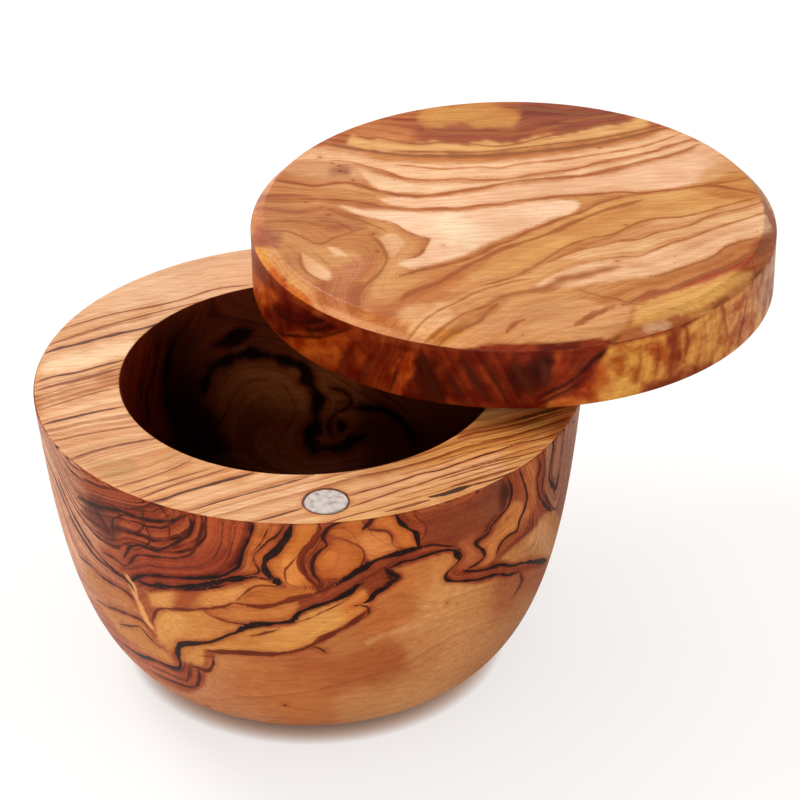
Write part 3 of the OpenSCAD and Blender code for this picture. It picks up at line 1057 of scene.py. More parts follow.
# Bowl's rim, from the back left to the front right
rimVeins = {
    "backSecond": vein(0.3, 0.4, [(61, 329), (109, 315), (154, 306), (181, 300), (216, 289), (250, 285)]),
    "backThird": vein(0.28, 0.5, [(49, 345), (74, 336), (109, 325), (154, 313), (199, 302)]),
    "backDark": vein(0.62, 0.8, [(41, 355), (60, 348), (74, 345), (113, 335), (145, 328), (165, 321)]),
    "leftDark": vein(0.4, 0.8, [(34, 383), (52, 377), (79, 372), (100, 366), (128, 359)]),
    "leftRed": vein(0.65, 0.35, [(33, 392), (56, 385), (82, 379), (122, 368)]),
    "leftThin": vein(0.2, 0.5, [(36, 411), (65, 402), (91, 394), (121, 387)]),
    "leftBlack": vein(0.4, 0.9, [(39, 426), (52, 422), (65, 419), (100, 411), (128, 406)]),
    "leftSeventh": vein(0.26, 0.5, [(50, 442), (82, 435), (118, 429), (140, 426)]),
    "leftEighth": vein(0.3, 0.6, [(66, 460), (91, 452), (118, 445), (156, 438)]),
    "frontTenth": vein(0.24, 0.6, [(112, 488), (145, 479), (172, 469), (193, 459)]),
    "frontEleventh": vein(0.22, 0.6, [(129, 493), (172, 480), (209, 469)]),
    "frontTwelfth": vein(0.24, 0.7, [(141, 498), (172, 486), (224, 470)]),
    "frontDark": vein(0.5, 0.9, [(152, 502), (165, 499), (181, 493), (216, 483), (254, 473)]),
    "frontFourteenth": vein(0.3, 0.7, [(190, 511), (218, 502), (247, 494), (277, 486), (309, 477)]),
    "magnetLeft": vein(0.32, 0.85, [(254, 522), (277, 516), (290, 512), (304, 508)]),
    "magnetRight": vein(0.24, 1, [(349, 496), (365, 491), (380, 487), (400, 481), (420, 474), (440, 470),
        (460, 463), (480, 456), (500, 450), (520, 443), (540, 439), (561, 432)]),
    "doubleRed": vein(0.3, 0.4, [(350, 507), (365, 502), (380, 497), (400, 490), (420, 484), (440, 477),
        (460, 471), (480, 465), (500, 460), (520, 456), (545, 449)]),
    "doubleUnder": vein(0.18, 0.7, [(440, 480), (460, 474), (480, 468), (500, 463), (520, 458)]),
    "fleckedStart": vein(0.5, 0.35, [(384, 512), (400, 508), (415, 504), (430, 500)]),
    "flecked": vein(0.7, 1, [(430, 497), (440, 495), (448, 493), (460, 489), (472, 485)]),
    "fleckedThin": vein(0.32, 0.9, [(466, 487), (480, 483), (492, 480), (506, 475), (520, 469)]),
    "lineUnder": vein(0.14, 0.8, [(460, 469), (490, 461), (524, 450), (552, 443)]),
    "lineUnderSecond": vein(0.14, 0.7, [(400, 497), (440, 485), (480, 473), (520, 461), (538, 455)]),
    "lineOver": vein(0.16, 0.4, [(400, 475), (440, 464), (480, 450), (512, 444), (540, 434), (566, 424)]),
    "lineOverSecond": vein(0.16, 0.5, [(466, 448), (500, 440), (512, 437), (540, 427), (570, 416)]),
    "fleckedTop": vein(0.4, 0.4, [(450, 487), (480, 478), (500, 472), (520, 466)]),
    "redBand": vein(0.6, 0.2, [(458, 438), (470, 434), (490, 430), (510, 426), (530, 421), (545, 416),
        (562, 411)]),
    "darkBand": vein(0.7, 0.8, [(515, 420), (530, 416), (545, 412), (558, 409)]),
    "rightThin": vein(0.2, 0.3, [(440, 460), (480, 449), (520, 439), (564, 427)]),
    "rightOrange": vein(0.3, 0.2, [(470, 443), (500, 438), (535, 429), (572, 416)]),
    "nearMouth": vein(0.2, 0.2, [(345, 478), (380, 472), (420, 463), (460, 450)]),
    "underMagnet": vein(0.2, 0.3, [(322, 524), (350, 516), (380, 508), (420, 497)]),
    "magnetRing": mark(0.17, 1, [(350.2, 499.9), (347, 494.4), (339.8, 490.3), (329.9, 488.4),
        (319.3, 489.1), (310.1, 492.1), (304, 497.1), (302.4, 502.8), (305.5, 508.4), (312.7, 512.5),
        (322.7, 514.5), (333.5, 513.8), (342.7, 510.7), (348.7, 505.7), (350.2, 499.9)]),
    "backPlain": guide([(90, 300), (150, 280), (210, 262), (245, 258)]),
}
rimTints = {
    "rightYellow": stroke((240, 176, 92), 7, [(430, 462), (480, 446), (545, 424)], lines=0.8, weight=1.4),
    "rightCream": stroke((244, 190, 142), 10, [(370, 495), (440, 475), (490, 462)], lines=0.4),
    "backPlain": stroke((240, 194, 152), 24, [(120, 300), (180, 272), (235, 262)], lines=0.2),
    "backLeft": stroke((240, 190, 144), 16, [(60, 345), (110, 322)], lines=0.4),
    "leftCream": stroke((250, 202, 156), 14, [(60, 400), (110, 400)], lines=0.5),
    "leftGold": stroke((204, 140, 76), 5, [(38, 402), (80, 392), (120, 380)], lines=1, weight=1.5),
    "backGold": stroke((224, 168, 100), 4, [(60, 336), (110, 322), (160, 307)], lines=0.8),
    "leftWhite": stroke((255, 218, 176), 6, [(52, 366), (90, 356), (125, 347)], lines=0.1, weight=1.5),
    "lowLeft": stroke((238, 186, 138), 12, [(70, 446), (130, 440)], lines=0.6),
    "olive": stroke((214, 166, 106), 5, [(94, 466), (112, 470), (128, 466)], lines=0.6),
    "frontCream": stroke((246, 196, 148), 16, [(200, 490), (260, 498), (290, 492)], lines=0.5),
    "frontGold": stroke((226, 164, 104), 8, [(180, 475), (240, 478)], lines=0.6),
    "rightLow": stroke((240, 186, 122), 8, [(360, 515), (420, 492), (480, 475)], lines=0.5),
    "mouthGold": stroke((214, 150, 84), 12, [(380, 465), (440, 448), (490, 430)], lines=0.7),
    "rightAmber": stroke((204, 124, 58), 14, [(520, 432), (565, 418)], lines=0.8),
    "rightBand": stroke((232, 176, 108), 7, [(510, 456), (545, 442)], lines=0.5),
}
# Inside of the bowl. Its ground colour and the wall, leftShade and deep strokes are darker than the wood's
# own colour: painted shade in the hollow.
wellVeins = {
    "leftWallFirst": vein(0.5, 1, [(158, 344), (154, 372), (147, 398), (150, 425)]),
    "leftWallSecond": vein(0.3, 0.9, [(146, 360), (141, 385), (139, 405)]),
    "leftWallThird": vein(1, 1, [(176, 336), (169, 356), (166, 384), (168, 410)], soft=0.6),
    "leftWallFourth": vein(0.4, 0.9, [(196, 312), (183, 330), (176, 350)]),
    "arch": vein(1.4, 1, [(204, 392), (207, 377), (222, 362), (248, 354), (279, 358), (301, 367),
        (307, 380), (316, 392), (319, 403), (314, 423), (308, 443), (317, 449), (342, 446), (365, 436)],
        soft=0.5),
    "innerLine": vein(0.6, 1, [(330, 388), (345, 392), (352, 404), (338, 412), (328, 424), (334, 438)],
        soft=0.3),
    "ovalKnot": mark(2.4, 1, [(218, 345), (232, 339), (250, 331)], soft=0.5),
    "roundKnot": mark(1.4, 1, [(338, 420), (342, 426), (340, 432)], soft=0.4),
    "knotCurve": vein(0.9, 1, [(352, 408), (372, 408), (393, 415), (409, 431), (416, 449)], soft=0.4),
}
wellTints = {
    "wall": stroke((92, 38, 16), 40, [(170, 330), (230, 312), (262, 330)], lines=0.6),
    "leftWall": stroke((140, 46, 20), 14, [(140, 350), (144, 425)], lines=1.2),
    "leftShade": stroke((36, 12, 6), 14, [(180, 340), (180, 400), (205, 440)], lines=0.6),
    "floor": stroke((206, 122, 66), 34, [(270, 400), (310, 430)], lines=0.3),
    "deep": stroke((110, 52, 26), 26, [(400, 420), (450, 430)], lines=0.8),
}
# Top of the lid, from the back to the front
lidTopVeins = {
    "backEdge": vein(0.9, 0.7, [(505, 107), (525, 108), (545, 110), (570, 113), (600, 114)]),
    "backRed": vein(0.9, 0.55, [(560, 122), (580, 120), (600, 117), (622, 114)]),
    "backBrown": vein(1, 0.45, [(426, 130), (440, 132), (455, 133), (480, 133), (510, 134), (530, 132),
        (548, 128), (566, 124)]),
    "backLine": vein(0.5, 0.35, [(372, 136), (385, 139), (400, 142), (420, 144), (443, 142), (460, 142),
        (480, 145), (500, 146), (520, 143), (545, 137), (575, 130), (600, 125), (625, 120)]),
    "stripe": vein(0.95, 0.6, [(322, 143), (335, 145), (345, 147), (370, 151), (400, 155), (440, 156),
        (480, 156), (520, 153), (560, 149), (600, 143), (640, 134), (665, 128)]),
    "stripeTop": vein(0.4, 0.6, [(400, 151), (440, 152), (480, 152), (520, 148), (560, 143), (600, 138),
        (640, 130), (658, 126)]),
    "goldBandVein": vein(0.55, 0.05, [(395, 165), (420, 167), (440, 169), (460, 168), (480, 167),
        (500, 168), (520, 164), (540, 162), (560, 160), (580, 157), (600, 154), (620, 151), (640, 147),
        (660, 141), (680, 134)]),
    "secondLine": vein(0.42, 0.15, [(330, 160), (350, 162), (365, 166), (385, 171), (400, 177), (420, 180),
        (440, 180), (460, 179), (480, 180), (500, 180), (515, 178), (530, 175), (545, 173), (560, 171),
        (580, 168), (600, 162), (620, 158), (640, 154), (656, 151), (664, 147), (680, 143), (692, 139)]),
    "thirdBand": vein(0.75, 0.15, [(345, 182), (360, 185), (375, 190), (388, 192), (400, 195), (420, 196),
        (440, 194), (460, 191), (480, 188), (500, 184), (520, 181), (540, 179), (560, 177), (580, 176),
        (600, 172), (620, 167), (640, 162), (660, 158), (680, 152), (700, 144)]),
    "fourthLine": vein(0.5, 0.1, [(300, 199), (320, 199), (340, 200), (360, 202), (380, 206), (400, 208),
        (420, 209), (440, 208), (460, 208), (480, 205), (500, 204), (520, 200), (540, 199), (560, 196),
        (580, 195), (600, 194), (620, 192), (640, 193), (660, 191), (680, 189), (700, 186), (720, 183),
        (748, 178)]),
    "rightOrange": vein(0.7, 0.15, [(695, 187), (715, 186), (735, 189), (756, 193)]),
    "leftRust": vein(0.5, 0.45, [(258, 208), (270, 209), (285, 212), (300, 213), (312, 212)]),
    "leftSoft": vein(0.6, 0.1, [(262, 196), (285, 195), (310, 196)]),
    "leftHigh": vein(0.7, 0.15, [(276, 180), (295, 183), (315, 186), (335, 183), (350, 183)]),
    "pitLine": vein(0.45, 0.45, [(325, 207), (335, 212), (345, 216), (355, 219), (365, 222), (375, 226),
        (383, 229)]),
    "lobe": vein(0.42, 0.2, [(383, 221), (395, 224), (405, 231), (418, 236), (428, 239), (426, 246),
        (419, 255), (406, 259)]),
    "snake": vein(0.48, 0.45, [(375, 238), (382, 246), (386, 254), (386, 262), (380, 272), (372, 280),
        (362, 288), (357, 296), (355, 303), (356, 311)]),
    "leftArc": vein(0.6, 0.3, [(320, 221), (335, 222), (347, 227), (354, 233)]),
    "leftMiddle": vein(0.3, 0.2, [(264, 222), (290, 221), (310, 223), (328, 226), (344, 230)]),
    "leftLow": vein(0.35, 0.2, [(262, 232), (285, 231), (300, 236), (318, 244), (334, 238), (352, 232),
        (370, 226)]),
    "leftBlush": mark(0.9, 0.4, [(262, 238), (268, 238), (275, 239)]),
    "leftLowest": vein(0.4, 0.15, [(300, 252), (302, 266), (312, 276), (326, 282)]),
    "seventh": vein(0.6, 0.1, [(400, 276), (420, 270), (440, 266), (462, 261), (480, 254), (497, 245),
        (512, 240), (530, 231), (548, 224), (565, 217), (582, 212), (600, 203), (622, 197)]),
    "eighth": vein(0.85, 0.3, [(400, 301), (410, 293), (420, 289), (440, 282), (460, 270), (470, 264),
        (484, 258), (500, 250), (520, 243), (540, 237), (560, 229), (572, 223), (582, 219), (600, 212),
        (620, 206), (642, 200)]),
    "ninth": vein(0.42, 0.25, [(480, 286), (500, 281), (520, 274), (540, 263), (552, 255), (562, 249),
        (575, 243), (590, 238), (610, 235), (625, 229), (640, 222), (660, 218), (680, 217), (700, 213),
        (720, 207), (740, 202), (758, 197)]),
    "tenth": vein(0.36, 0.3, [(405, 343), (413, 333), (425, 320), (440, 310), (455, 303), (470, 295),
        (485, 289), (500, 285), (515, 281), (530, 279)]),
    "eleventh": vein(0.36, 0.25, [(548, 262), (560, 257), (580, 250), (600, 246), (620, 241), (640, 239),
        (655, 233), (670, 230), (690, 225), (705, 218), (720, 213), (740, 209), (765, 201)]),
    "twelfth": vein(1.15, 0.4, [(490, 303), (500, 298), (512, 294), (530, 291), (545, 288), (555, 283),
        (565, 278), (580, 276), (600, 271), (618, 267)], soft=0.7),
    "twelfthFoot": vein(0.6, 0.4, [(436, 348), (448, 337), (460, 330), (478, 322), (488, 312), (498, 303)]),
    "twelfthTop": vein(0.5, 0.2, [(421, 346), (430, 338), (440, 330), (452, 321), (465, 313), (478, 309),
        (494, 303)]),
    "thirteenth": vein(0.42, 0.4, [(650, 277), (662, 275), (680, 269), (700, 262), (715, 256), (725, 248),
        (740, 242), (758, 238)]),
    "creamEdge": vein(0.35, 0.15, [(600, 260), (620, 257), (640, 256), (655, 250), (670, 244), (690, 238),
        (705, 232), (725, 225), (745, 219), (766, 212)]),
    "frontLine": vein(0.5, 0.6, [(622, 305), (631, 302), (640, 297), (650, 292), (665, 291), (675, 287),
        (690, 281), (705, 274), (720, 270), (735, 263), (745, 256), (757, 251), (767, 246)]),
    "crossing": mark(0.4, 0.4, [(580, 290), (600, 296), (615, 299), (630, 303), (646, 305)]),
    "markFirst": mark(1, 0.75, [(752, 281), (758, 274), (767, 266)], soft=0.3),
    "markThird": mark(1, 0.75, [(714, 308), (720, 303), (728, 298)], soft=0.3),
    "markFourth": mark(0.8, 0.6, [(672, 328), (684, 323), (697, 318)], soft=0.3),
    "markFifth": mark(1.3, 0.85, [(603, 350), (610, 344), (617, 338)], soft=0.3),
    "redFleck": mark(0.5, 0.3, [(506, 329), (511, 325), (516, 321)]),
    "frontStreak": mark(0.5, 0.25, [(576, 322), (590, 318), (604, 313)]),
}
lidTopTints = {
    "left": stroke((212, 148, 84), 20, [(285, 190), (340, 192)], lines=0.8),
    "leftRose": stroke((196, 126, 74), 8, [(262, 206), (310, 214), (350, 222)], lines=1),
    "leftHoney": stroke((214, 154, 92), 13, [(290, 235), (330, 240), (365, 250)], lines=0.7),
    "leftCream": stroke((240, 188, 142), 12, [(295, 162), (320, 168), (350, 172)], lines=0.3),
    "knot": stroke((146, 76, 54), 4.5, [(334, 172), (344, 172)], lines=0.3, weight=2),
    "blush": stroke((164, 90, 66), 6, [(262, 238), (275, 239)], lines=0.4, weight=1.5),
    "redCloud": stroke((192, 118, 72), 11, [(330, 288), (350, 298)], lines=0.9),
    "redCloudHigh": stroke((198, 122, 80), 7, [(352, 270), (366, 262)], lines=0.7),
    "leftShoulder": stroke((218, 160, 100), 13, [(282, 255), (300, 288)], lines=0.5),
    "middle": stroke((222, 162, 100), 14, [(400, 260), (385, 290)], lines=0.6),
    "amberSwirl": stroke((208, 132, 70), 7, [(395, 305), (430, 290), (455, 278)], lines=0.6, weight=1.1),
    "amberLeft": stroke((206, 130, 76), 8, [(385, 318), (378, 305)], lines=0.6),
    "paleFront": stroke((250, 200, 146), 9, [(412, 312), (428, 322), (440, 318)], lines=0.3, weight=1.4),
    "honeyFront": stroke((232, 174, 112), 12, [(470, 300), (520, 285), (560, 272)], lines=0.6),
    "goldFrontLeft": stroke((216, 156, 82), 9, [(440, 345), (460, 335)], lines=0.6),
}
lidTopAreas = {
    "back": area((194, 114, 58), 1.2, [(290, 156), (325, 144), (345, 147), (370, 151), (400, 152),
        (440, 153), (480, 153), (520, 150), (560, 144), (600, 138), (640, 130), (680, 124), (640, 100),
        (560, 90), (480, 88), (400, 98), (330, 125)], [
        stroke((214, 152, 74), 9, [(432, 116), (480, 115), (508, 121)], lines=0.2, edge=3, weight=2),
        stroke((162, 80, 46), 7, [(428, 131), (470, 133), (520, 131)], lines=0.8),
        stroke((154, 76, 48), 9, [(535, 110), (570, 118), (610, 117)], lines=0.9),
        stroke((206, 132, 74), 6, [(365, 128), (400, 138)], lines=0.9),
        stroke((236, 184, 116), 3.2, [(352, 142), (400, 147.5), (470, 148), (520, 146), (560, 140),
            (600, 132), (645, 124)], lines=0.3, weight=2),
    ]),
    "firstCream": area((254, 206, 162), 0.4, [(296, 158), (330, 153), (370, 160), (420, 163), (480, 163),
        (520, 159), (560, 154), (600, 148), (640, 140), (668, 130), (692, 138), (664, 147), (640, 154),
        (600, 162), (560, 171), (515, 178), (460, 180), (420, 181), (400, 177), (385, 171), (365, 166),
        (340, 163)]),
    "secondCream": area((255, 211, 170), 0.25, [(358, 168), (400, 181), (440, 183), (500, 182), (545, 176),
        (600, 165), (640, 157), (692, 141), (702, 146), (660, 158), (600, 172), (560, 177), (520, 182),
        (480, 188), (440, 193), (400, 193), (375, 187)], [
        # This whiter stroke is a painted highlight on the cream.
        stroke((255, 216, 174), 7, [(388, 184), (402, 187)], lines=0.1),
    ]),
    "thirdCream": area((254, 207, 168), 0.2, [(378, 197), (440, 197), (500, 187), (560, 180), (600, 175),
        (640, 166), (690, 152), (706, 144), (742, 166), (722, 178), (700, 184), (660, 189), (600, 193),
        (560, 195), (500, 203), (460, 207), (420, 208), (390, 205)], [
        stroke((226, 168, 110), 9, [(715, 178), (735, 168)]),
    ]),
    "pool": area((255, 213, 177), 0.06, [(340, 206), (365, 209), (400, 211), (440, 212), (480, 209),
        (520, 203), (560, 199), (578, 203), (577, 211), (560, 217), (530, 227), (500, 238), (480, 247),
        (462, 256), (440, 262), (412, 268), (398, 264), (420, 255), (426, 246), (430, 239), (418, 236),
        (405, 231), (395, 224), (380, 219), (362, 216)], [
        # This whiter stroke is a painted highlight on the cream.
        stroke((255, 228, 192), 7, [(448, 226), (468, 235)]),
    ]),
    "paleUnder": area((240, 188, 138), 0.2, [(378, 238), (392, 234), (404, 242), (399, 252), (389, 256),
        (384, 247)]),
    "paleFirst": area((244, 194, 148), 0.1, [(299, 252), (312, 259), (328, 270), (331, 279), (318, 278),
        (306, 269)]),
    "paleSecond": area((238, 186, 136), 0.1, [(326, 245), (340, 249), (347, 256), (334, 254)],
        softness=1.6),
    "honeyRight": area((228, 170, 98), 0.5, [(520, 241), (560, 223), (600, 204), (640, 197), (700, 189),
        (757, 197), (740, 203), (705, 212), (660, 217), (630, 226), (600, 238), (562, 250), (540, 262),
        (500, 276), (480, 272), (490, 260)]),
    "creamRight": area((252, 206, 162), 0.4, [(535, 287), (560, 271), (600, 262), (640, 256), (670, 244),
        (705, 232), (745, 220), (768, 212), (772, 226), (757, 236), (730, 243), (715, 254), (680, 267),
        (650, 276), (618, 280), (590, 284), (565, 287)]),
    "strips": area((242, 192, 138), 0.7, [(562, 258), (600, 242), (640, 228), (660, 220), (705, 214),
        (745, 204), (768, 200), (770, 210), (745, 219), (705, 231), (670, 243), (640, 255), (600, 261)]),
    "corner": area((212, 146, 72), 0.7, [(685, 188), (715, 180), (738, 172), (765, 192), (766, 198),
        (740, 201), (712, 196)]),
    "amberFront": area((196, 114, 58), 0.8, [(636, 303), (650, 290), (668, 288), (690, 280), (720, 267),
        (745, 255), (757, 240), (776, 232), (776, 256), (755, 273), (735, 271), (700, 284), (665, 294),
        (648, 302)], [
        stroke((206, 132, 72), 5, [(655, 284), (700, 268), (740, 246)]),
        stroke((194, 96, 46), 7, [(690, 276), (740, 262)]),
    ]),
    "goldFront": area((236, 182, 104), 0.4, [(638, 306), (665, 295), (700, 285), (735, 272), (754, 273),
        (742, 283), (716, 299), (690, 313), (660, 322), (634, 324)], [
        stroke((250, 188, 100), 5, [(700, 308), (735, 288)]),
    ]),
    "roseFront": area((230, 170, 114), 0.4, [(442, 349), (470, 330), (500, 312), (540, 303), (575, 298),
        (604, 304), (630, 308), (620, 330), (604, 340), (560, 341), (500, 343), (470, 348)], [
        stroke((196, 124, 70), 2, [(576, 322), (594, 315), (614, 304)], lines=1.3, edge=4),
        stroke((198, 124, 74), 1.5, [(508, 329), (523, 318)], lines=1.3, edge=3),
        stroke((184, 108, 64), 3.5, [(500, 300), (530, 292), (552, 284)], lines=1),
        stroke((226, 170, 112), 8, [(530, 312), (570, 303)]),
    ]),
    "chamferRed": area((152, 64, 34), 0.7, [(462, 349), (500, 344), (560, 342), (604, 338), (613, 342),
        (602, 353), (560, 357), (500, 359), (462, 356)], [
        stroke((104, 34, 18), 5, [(545, 350), (570, 347)]),
    ], softness=1.3),
    "chamferPale": area((222, 158, 108), 0.3, [(304, 299), (330, 307), (350, 317), (380, 325), (410, 334),
        (432, 341), (440, 349), (400, 345), (375, 340), (350, 332), (330, 325), (306, 313)], softness=1.3),
    "chamferOrange": area((202, 106, 28), 0.4, [(246, 268), (252, 250), (262, 250), (275, 267), (290, 284),
        (310, 299), (314, 313), (290, 302), (268, 288)], [
        stroke((222, 156, 66), 5, [(258, 254), (262, 262)]),
    ], softness=1.5),
    "chamferRight": area((190, 112, 74), 0.3, [(762, 196), (776, 222), (780, 250), (770, 275), (758, 282),
        (762, 268), (772, 250), (772, 228), (764, 208)], softness=1.3),
    "chamferScratchAndGleam": area((192, 118, 70), 0.3, [(618, 334), (640, 326), (660, 320), (680, 315), (690, 319),
        (670, 329), (645, 337), (622, 342)], [
        # This pale stroke is a painted highlight, a gleam on the chamfer over its scratches.
        stroke((232, 186, 146), 2.5, [(648, 329), (666, 324)]),
    ], softness=1.3),
}
lidTopSpots = ((320, 157, 0.2, 1), (333, 163, 0.24, 1), (340, 171, 0.5, 0.9), (339, 166, 0.26, 1),
    (345, 172, 0.28, 0.9), (353, 180, 0.22, 1), (306, 202, 0.22, 1), (322, 207, 0.24, 0.9),
    (329, 215, 0.26, 1), (331, 209, 0.18, 0.9), (373, 234, 0.3, 1), (378, 251, 0.16, 1),
    (626, 225, 0.16, 0.9), (617, 261, 0.2, 0.9), (443, 245, 0.12, 0.7), (600, 148, 0.22, 0.8),
    (664, 337, 0.3, 1), (284, 280, 0.24, 1), (285, 286, 0.22, 1))
# Lid's side
lidSideVeins = {
    "longBlack": vein(0.42, 1, [(536, 400), (548, 393), (560, 387), (570, 382), (580, 373), (590, 363),
        (600, 355), (608, 347)], soft=0.25),
    "longBlackFoot": vein(0.25, 1, [(540, 404), (556, 396), (572, 388), (584, 378)], soft=0.3),
    "leftFirst": vein(0.3, 1, [(276, 330), (283, 335), (296, 336), (306, 337), (322, 337), (336, 333),
        (350, 328)]),
    "leftSecond": vein(0.34, 1, [(300, 321), (305, 328), (312, 330), (322, 329), (334, 325)]),
    "leftThird": vein(0.4, 1, [(272, 305), (285, 318), (302, 322), (325, 320)], soft=0.3),
    "slantFirst": vein(0.35, 1, [(404, 352), (396, 372), (389, 392)], soft=0.2),
    "slantSecond": vein(1.1, 0.9, [(420, 356), (428, 376), (440, 400)], soft=0.7),
    "slantThird": vein(0.6, 0.9, [(440, 358), (452, 380), (466, 402)], soft=0.4),
    "slantFourth": vein(0.8, 0.9, [(462, 360), (476, 382), (492, 403)], soft=0.6),
    "slantFifth": vein(0.5, 0.9, [(484, 360), (496, 382), (508, 403)], soft=0.3),
    "slantSixth": vein(0.7, 0.85, [(512, 360), (522, 378), (534, 396)], soft=0.6),
    "slantSeventh": vein(0.9, 0.85, [(540, 358), (546, 372), (545, 386)], soft=0.5),
    "slantEighth": vein(0.35, 0.8, [(350, 350), (342, 362), (338, 372)], soft=0.3),
    "slantNinth": vein(0.35, 0.8, [(380, 348), (368, 366), (362, 384)], soft=0.3),
    "slantTenth": vein(0.5, 0.8, [(586, 358), (580, 366), (572, 378)], soft=0.4),
    "redUpright": vein(0.6, 0.4, [(673, 330), (674, 350), (670, 378)], soft=0.3),
    "redUprightSecond": vein(0.5, 0.3, [(686, 326), (688, 342), (684, 362)], soft=0.3),
    "rightUpright": vein(0.4, 0.25, [(722, 304), (725, 320), (727, 336)], soft=0.4),
    "rightFar": vein(0.4, 0.2, [(748, 296), (742, 325), (738, 346)], soft=0.4),
    "goldUprightFirst": vein(0.35, 0.2, [(640, 352), (640, 366), (634, 384)], soft=0.4),
    "goldUprightSecond": vein(0.3, 0.2, [(658, 344), (658, 362), (652, 386)], soft=0.4),
    "footRed": mark(0.5, 0.6, [(642, 392), (660, 387), (675, 382), (690, 378), (700, 372), (716, 365)],
        soft=0.3),
    "footCurl": mark(0.25, 0.6, [(690, 378), (696, 371), (704, 368), (712, 363)], soft=0.1),
}
lidSideTints = {
    "left": stroke((152, 64, 22), 20, [(256, 280), (280, 320), (330, 350)], lines=0.7),
}
lidSideAreas = {
    "left": area((146, 54, 16), 0.9, [(240, 250), (262, 282), (300, 306), (345, 330), (380, 345),
        (350, 380), (300, 365), (262, 335), (244, 300)], [
        stroke((92, 18, 4), 8, [(284, 316), (300, 320), (325, 322)]),
        stroke((198, 94, 26), 7, [(292, 347), (318, 345), (338, 343)]),
        stroke((214, 104, 38), 8, [(252, 262), (262, 290)]),
        stroke((178, 78, 24), 7, [(330, 362), (352, 350)]),
    ]),
    "front": area((130, 46, 14), 1, [(352, 340), (400, 345), (450, 350), (560, 350), (606, 346), (598, 364),
        (576, 380), (545, 398), (525, 412), (440, 410), (380, 396), (342, 376)], [
        stroke((216, 106, 40), 4.5, [(408, 362), (402, 374), (396, 390)], weight=1.5),
        stroke((72, 18, 5), 8, [(424, 370), (434, 392)]),
        stroke((150, 62, 24), 5, [(446, 376), (460, 398)]),
        stroke((140, 54, 20), 5, [(478, 370), (490, 390)]),
        stroke((66, 16, 5), 8, [(520, 380), (544, 370)]),
        stroke((172, 78, 30), 7, [(562, 366), (560, 378)]),
        stroke((150, 58, 20), 9, [(366, 362), (378, 378)]),
    ]),
    "right": area((212, 148, 68), 0.35, [(608, 346), (640, 340), (700, 318), (790, 230), (790, 340),
        (720, 385), (660, 408), (560, 414), (548, 404), (575, 392), (596, 370)], [
        stroke((182, 90, 32), 7, [(566, 402), (590, 386), (600, 372)]),
        stroke((214, 158, 74), 10, [(626, 362), (630, 384)]),
        stroke((150, 72, 34), 5, [(650, 390), (680, 381), (708, 368)]),
        stroke((160, 76, 34), 4, [(676, 334), (673, 370)]),
        stroke((214, 152, 76), 9, [(704, 330), (700, 350)]),
        stroke((226, 162, 96), 12, [(745, 305), (750, 330)]),
        stroke((206, 152, 108), 10, [(768, 300), (772, 270)]),
    ]),
}

# Regions of the two pieces, in millimetres, with how far over its borders each region reaches
borders = {
    "rimBelow": 0.05,
    "rimInside": 0.1,
    "mouthBelow": 0.5,
    "mouthOutside": 0.35,
    "floorBelow": 0.5,
    "shoulder": 0.1,
    "underside": 0.05,
    "rimHit": 0.1,
    "axisHit": 20,
    "mouthHit": 0.2,
    "shoulderHit": 0.2,
}
bowlTop = bowl["height"] * perMetre
mouth = bowl["mouthRadius"] * perMetre
wellFloor = bowl["floorThickness"] * perMetre
lidTop = (lidLow + lid["height"]) * perMetre
lidBase = lidLow * perMetre
lidMiddle = np.array((lidCentre.x * perMetre, lidCentre.y * perMetre, lidBase))
lidShoulder = lidBase + (lid["height"] - lid["chamfer"]) * perMetre
bowlMiddle = np.zeros(3)


def fromAxis(place):
    return math.hypot(place[0], place[1])


def hitsSide(place):
    return place[2] < bowlTop - borders["rimHit"] and fromAxis(place) > borders["axisHit"]


def bowlReach(places):
    return np.hypot(places[:, 0], places[:, 1])


def onRim(places):
    level = places[:, 2] > bowlTop - borders["rimBelow"]
    return level & (bowlReach(places) > mouth - borders["rimInside"])


def inWell(places):
    nearMouth = places[:, 2] > bowlTop - borders["mouthBelow"]
    edge = mouth + nearMouth * borders["mouthOutside"]
    aboveFloor = places[:, 2] > wellFloor - borders["floorBelow"]
    return ~onRim(places) & (bowlReach(places) < edge) & aboveFloor


def onSide(places):
    return ~onRim(places) & ~inWell(places)


def onLidTop(places):
    return places[:, 2] > lidShoulder + borders["shoulder"]


def onLidSide(places):
    return ~onLidTop(places)


# How far round from the camera's side each height is seen: millimetres above the foot, then degrees
sideLimits = ((0, 5.3, 15, 25, 40, 60), (50, 50, 62, 72, 79, 81))
wellLimits = ((0, 60), (80, 80))
lidLimits = ((0, 15), (82, 82))

# The bowl's outer radius at each height, from its own points
turned = np.array([vertex.co for vertex in turnedBowl.data.vertices]) * perMetre
outer = turned[onSide(turned)]
outer = outer[np.lexsort((-bowlReach(outer), outer[:, 2].round(3)))]
outerHeights, firstOf = np.unique(outer[:, 2].round(3), return_index=True)
outerReaches = bowlReach(outer[firstOf])


def outerReach(heights):
    return np.interp(heights, outerHeights, outerReaches)


# The unseen half also slides along the side, so that it isn't the seen half's mirror image
def foldSide(places):
    folded, past = foldRound(places, bowlMiddle, cameraFacing, sideLimits)
    heights = places[:, 2]
    share = (1 - np.exp(-past / figure["slideReach"])) * np.sin(math.pi * heights / bowlTop)
    slid = heights + figure["slide"] * share
    folded[:, 2] = slid
    folded[:, :2] *= (outerReach(slid) / outerReach(heights))[:, None]
    return folded


def foldWell(places):
    return foldRound(places, bowlMiddle, cameraFacing + math.pi, wellLimits)[0]


def foldLidSide(places):
    folded = foldRound(places, lidMiddle, cameraFacing, lidLimits)[0]
    under = places[:, 2] < lidBase + borders["underside"]
    folded[under] = places[under]
    folded[under, 2] = lidTop
    return folded


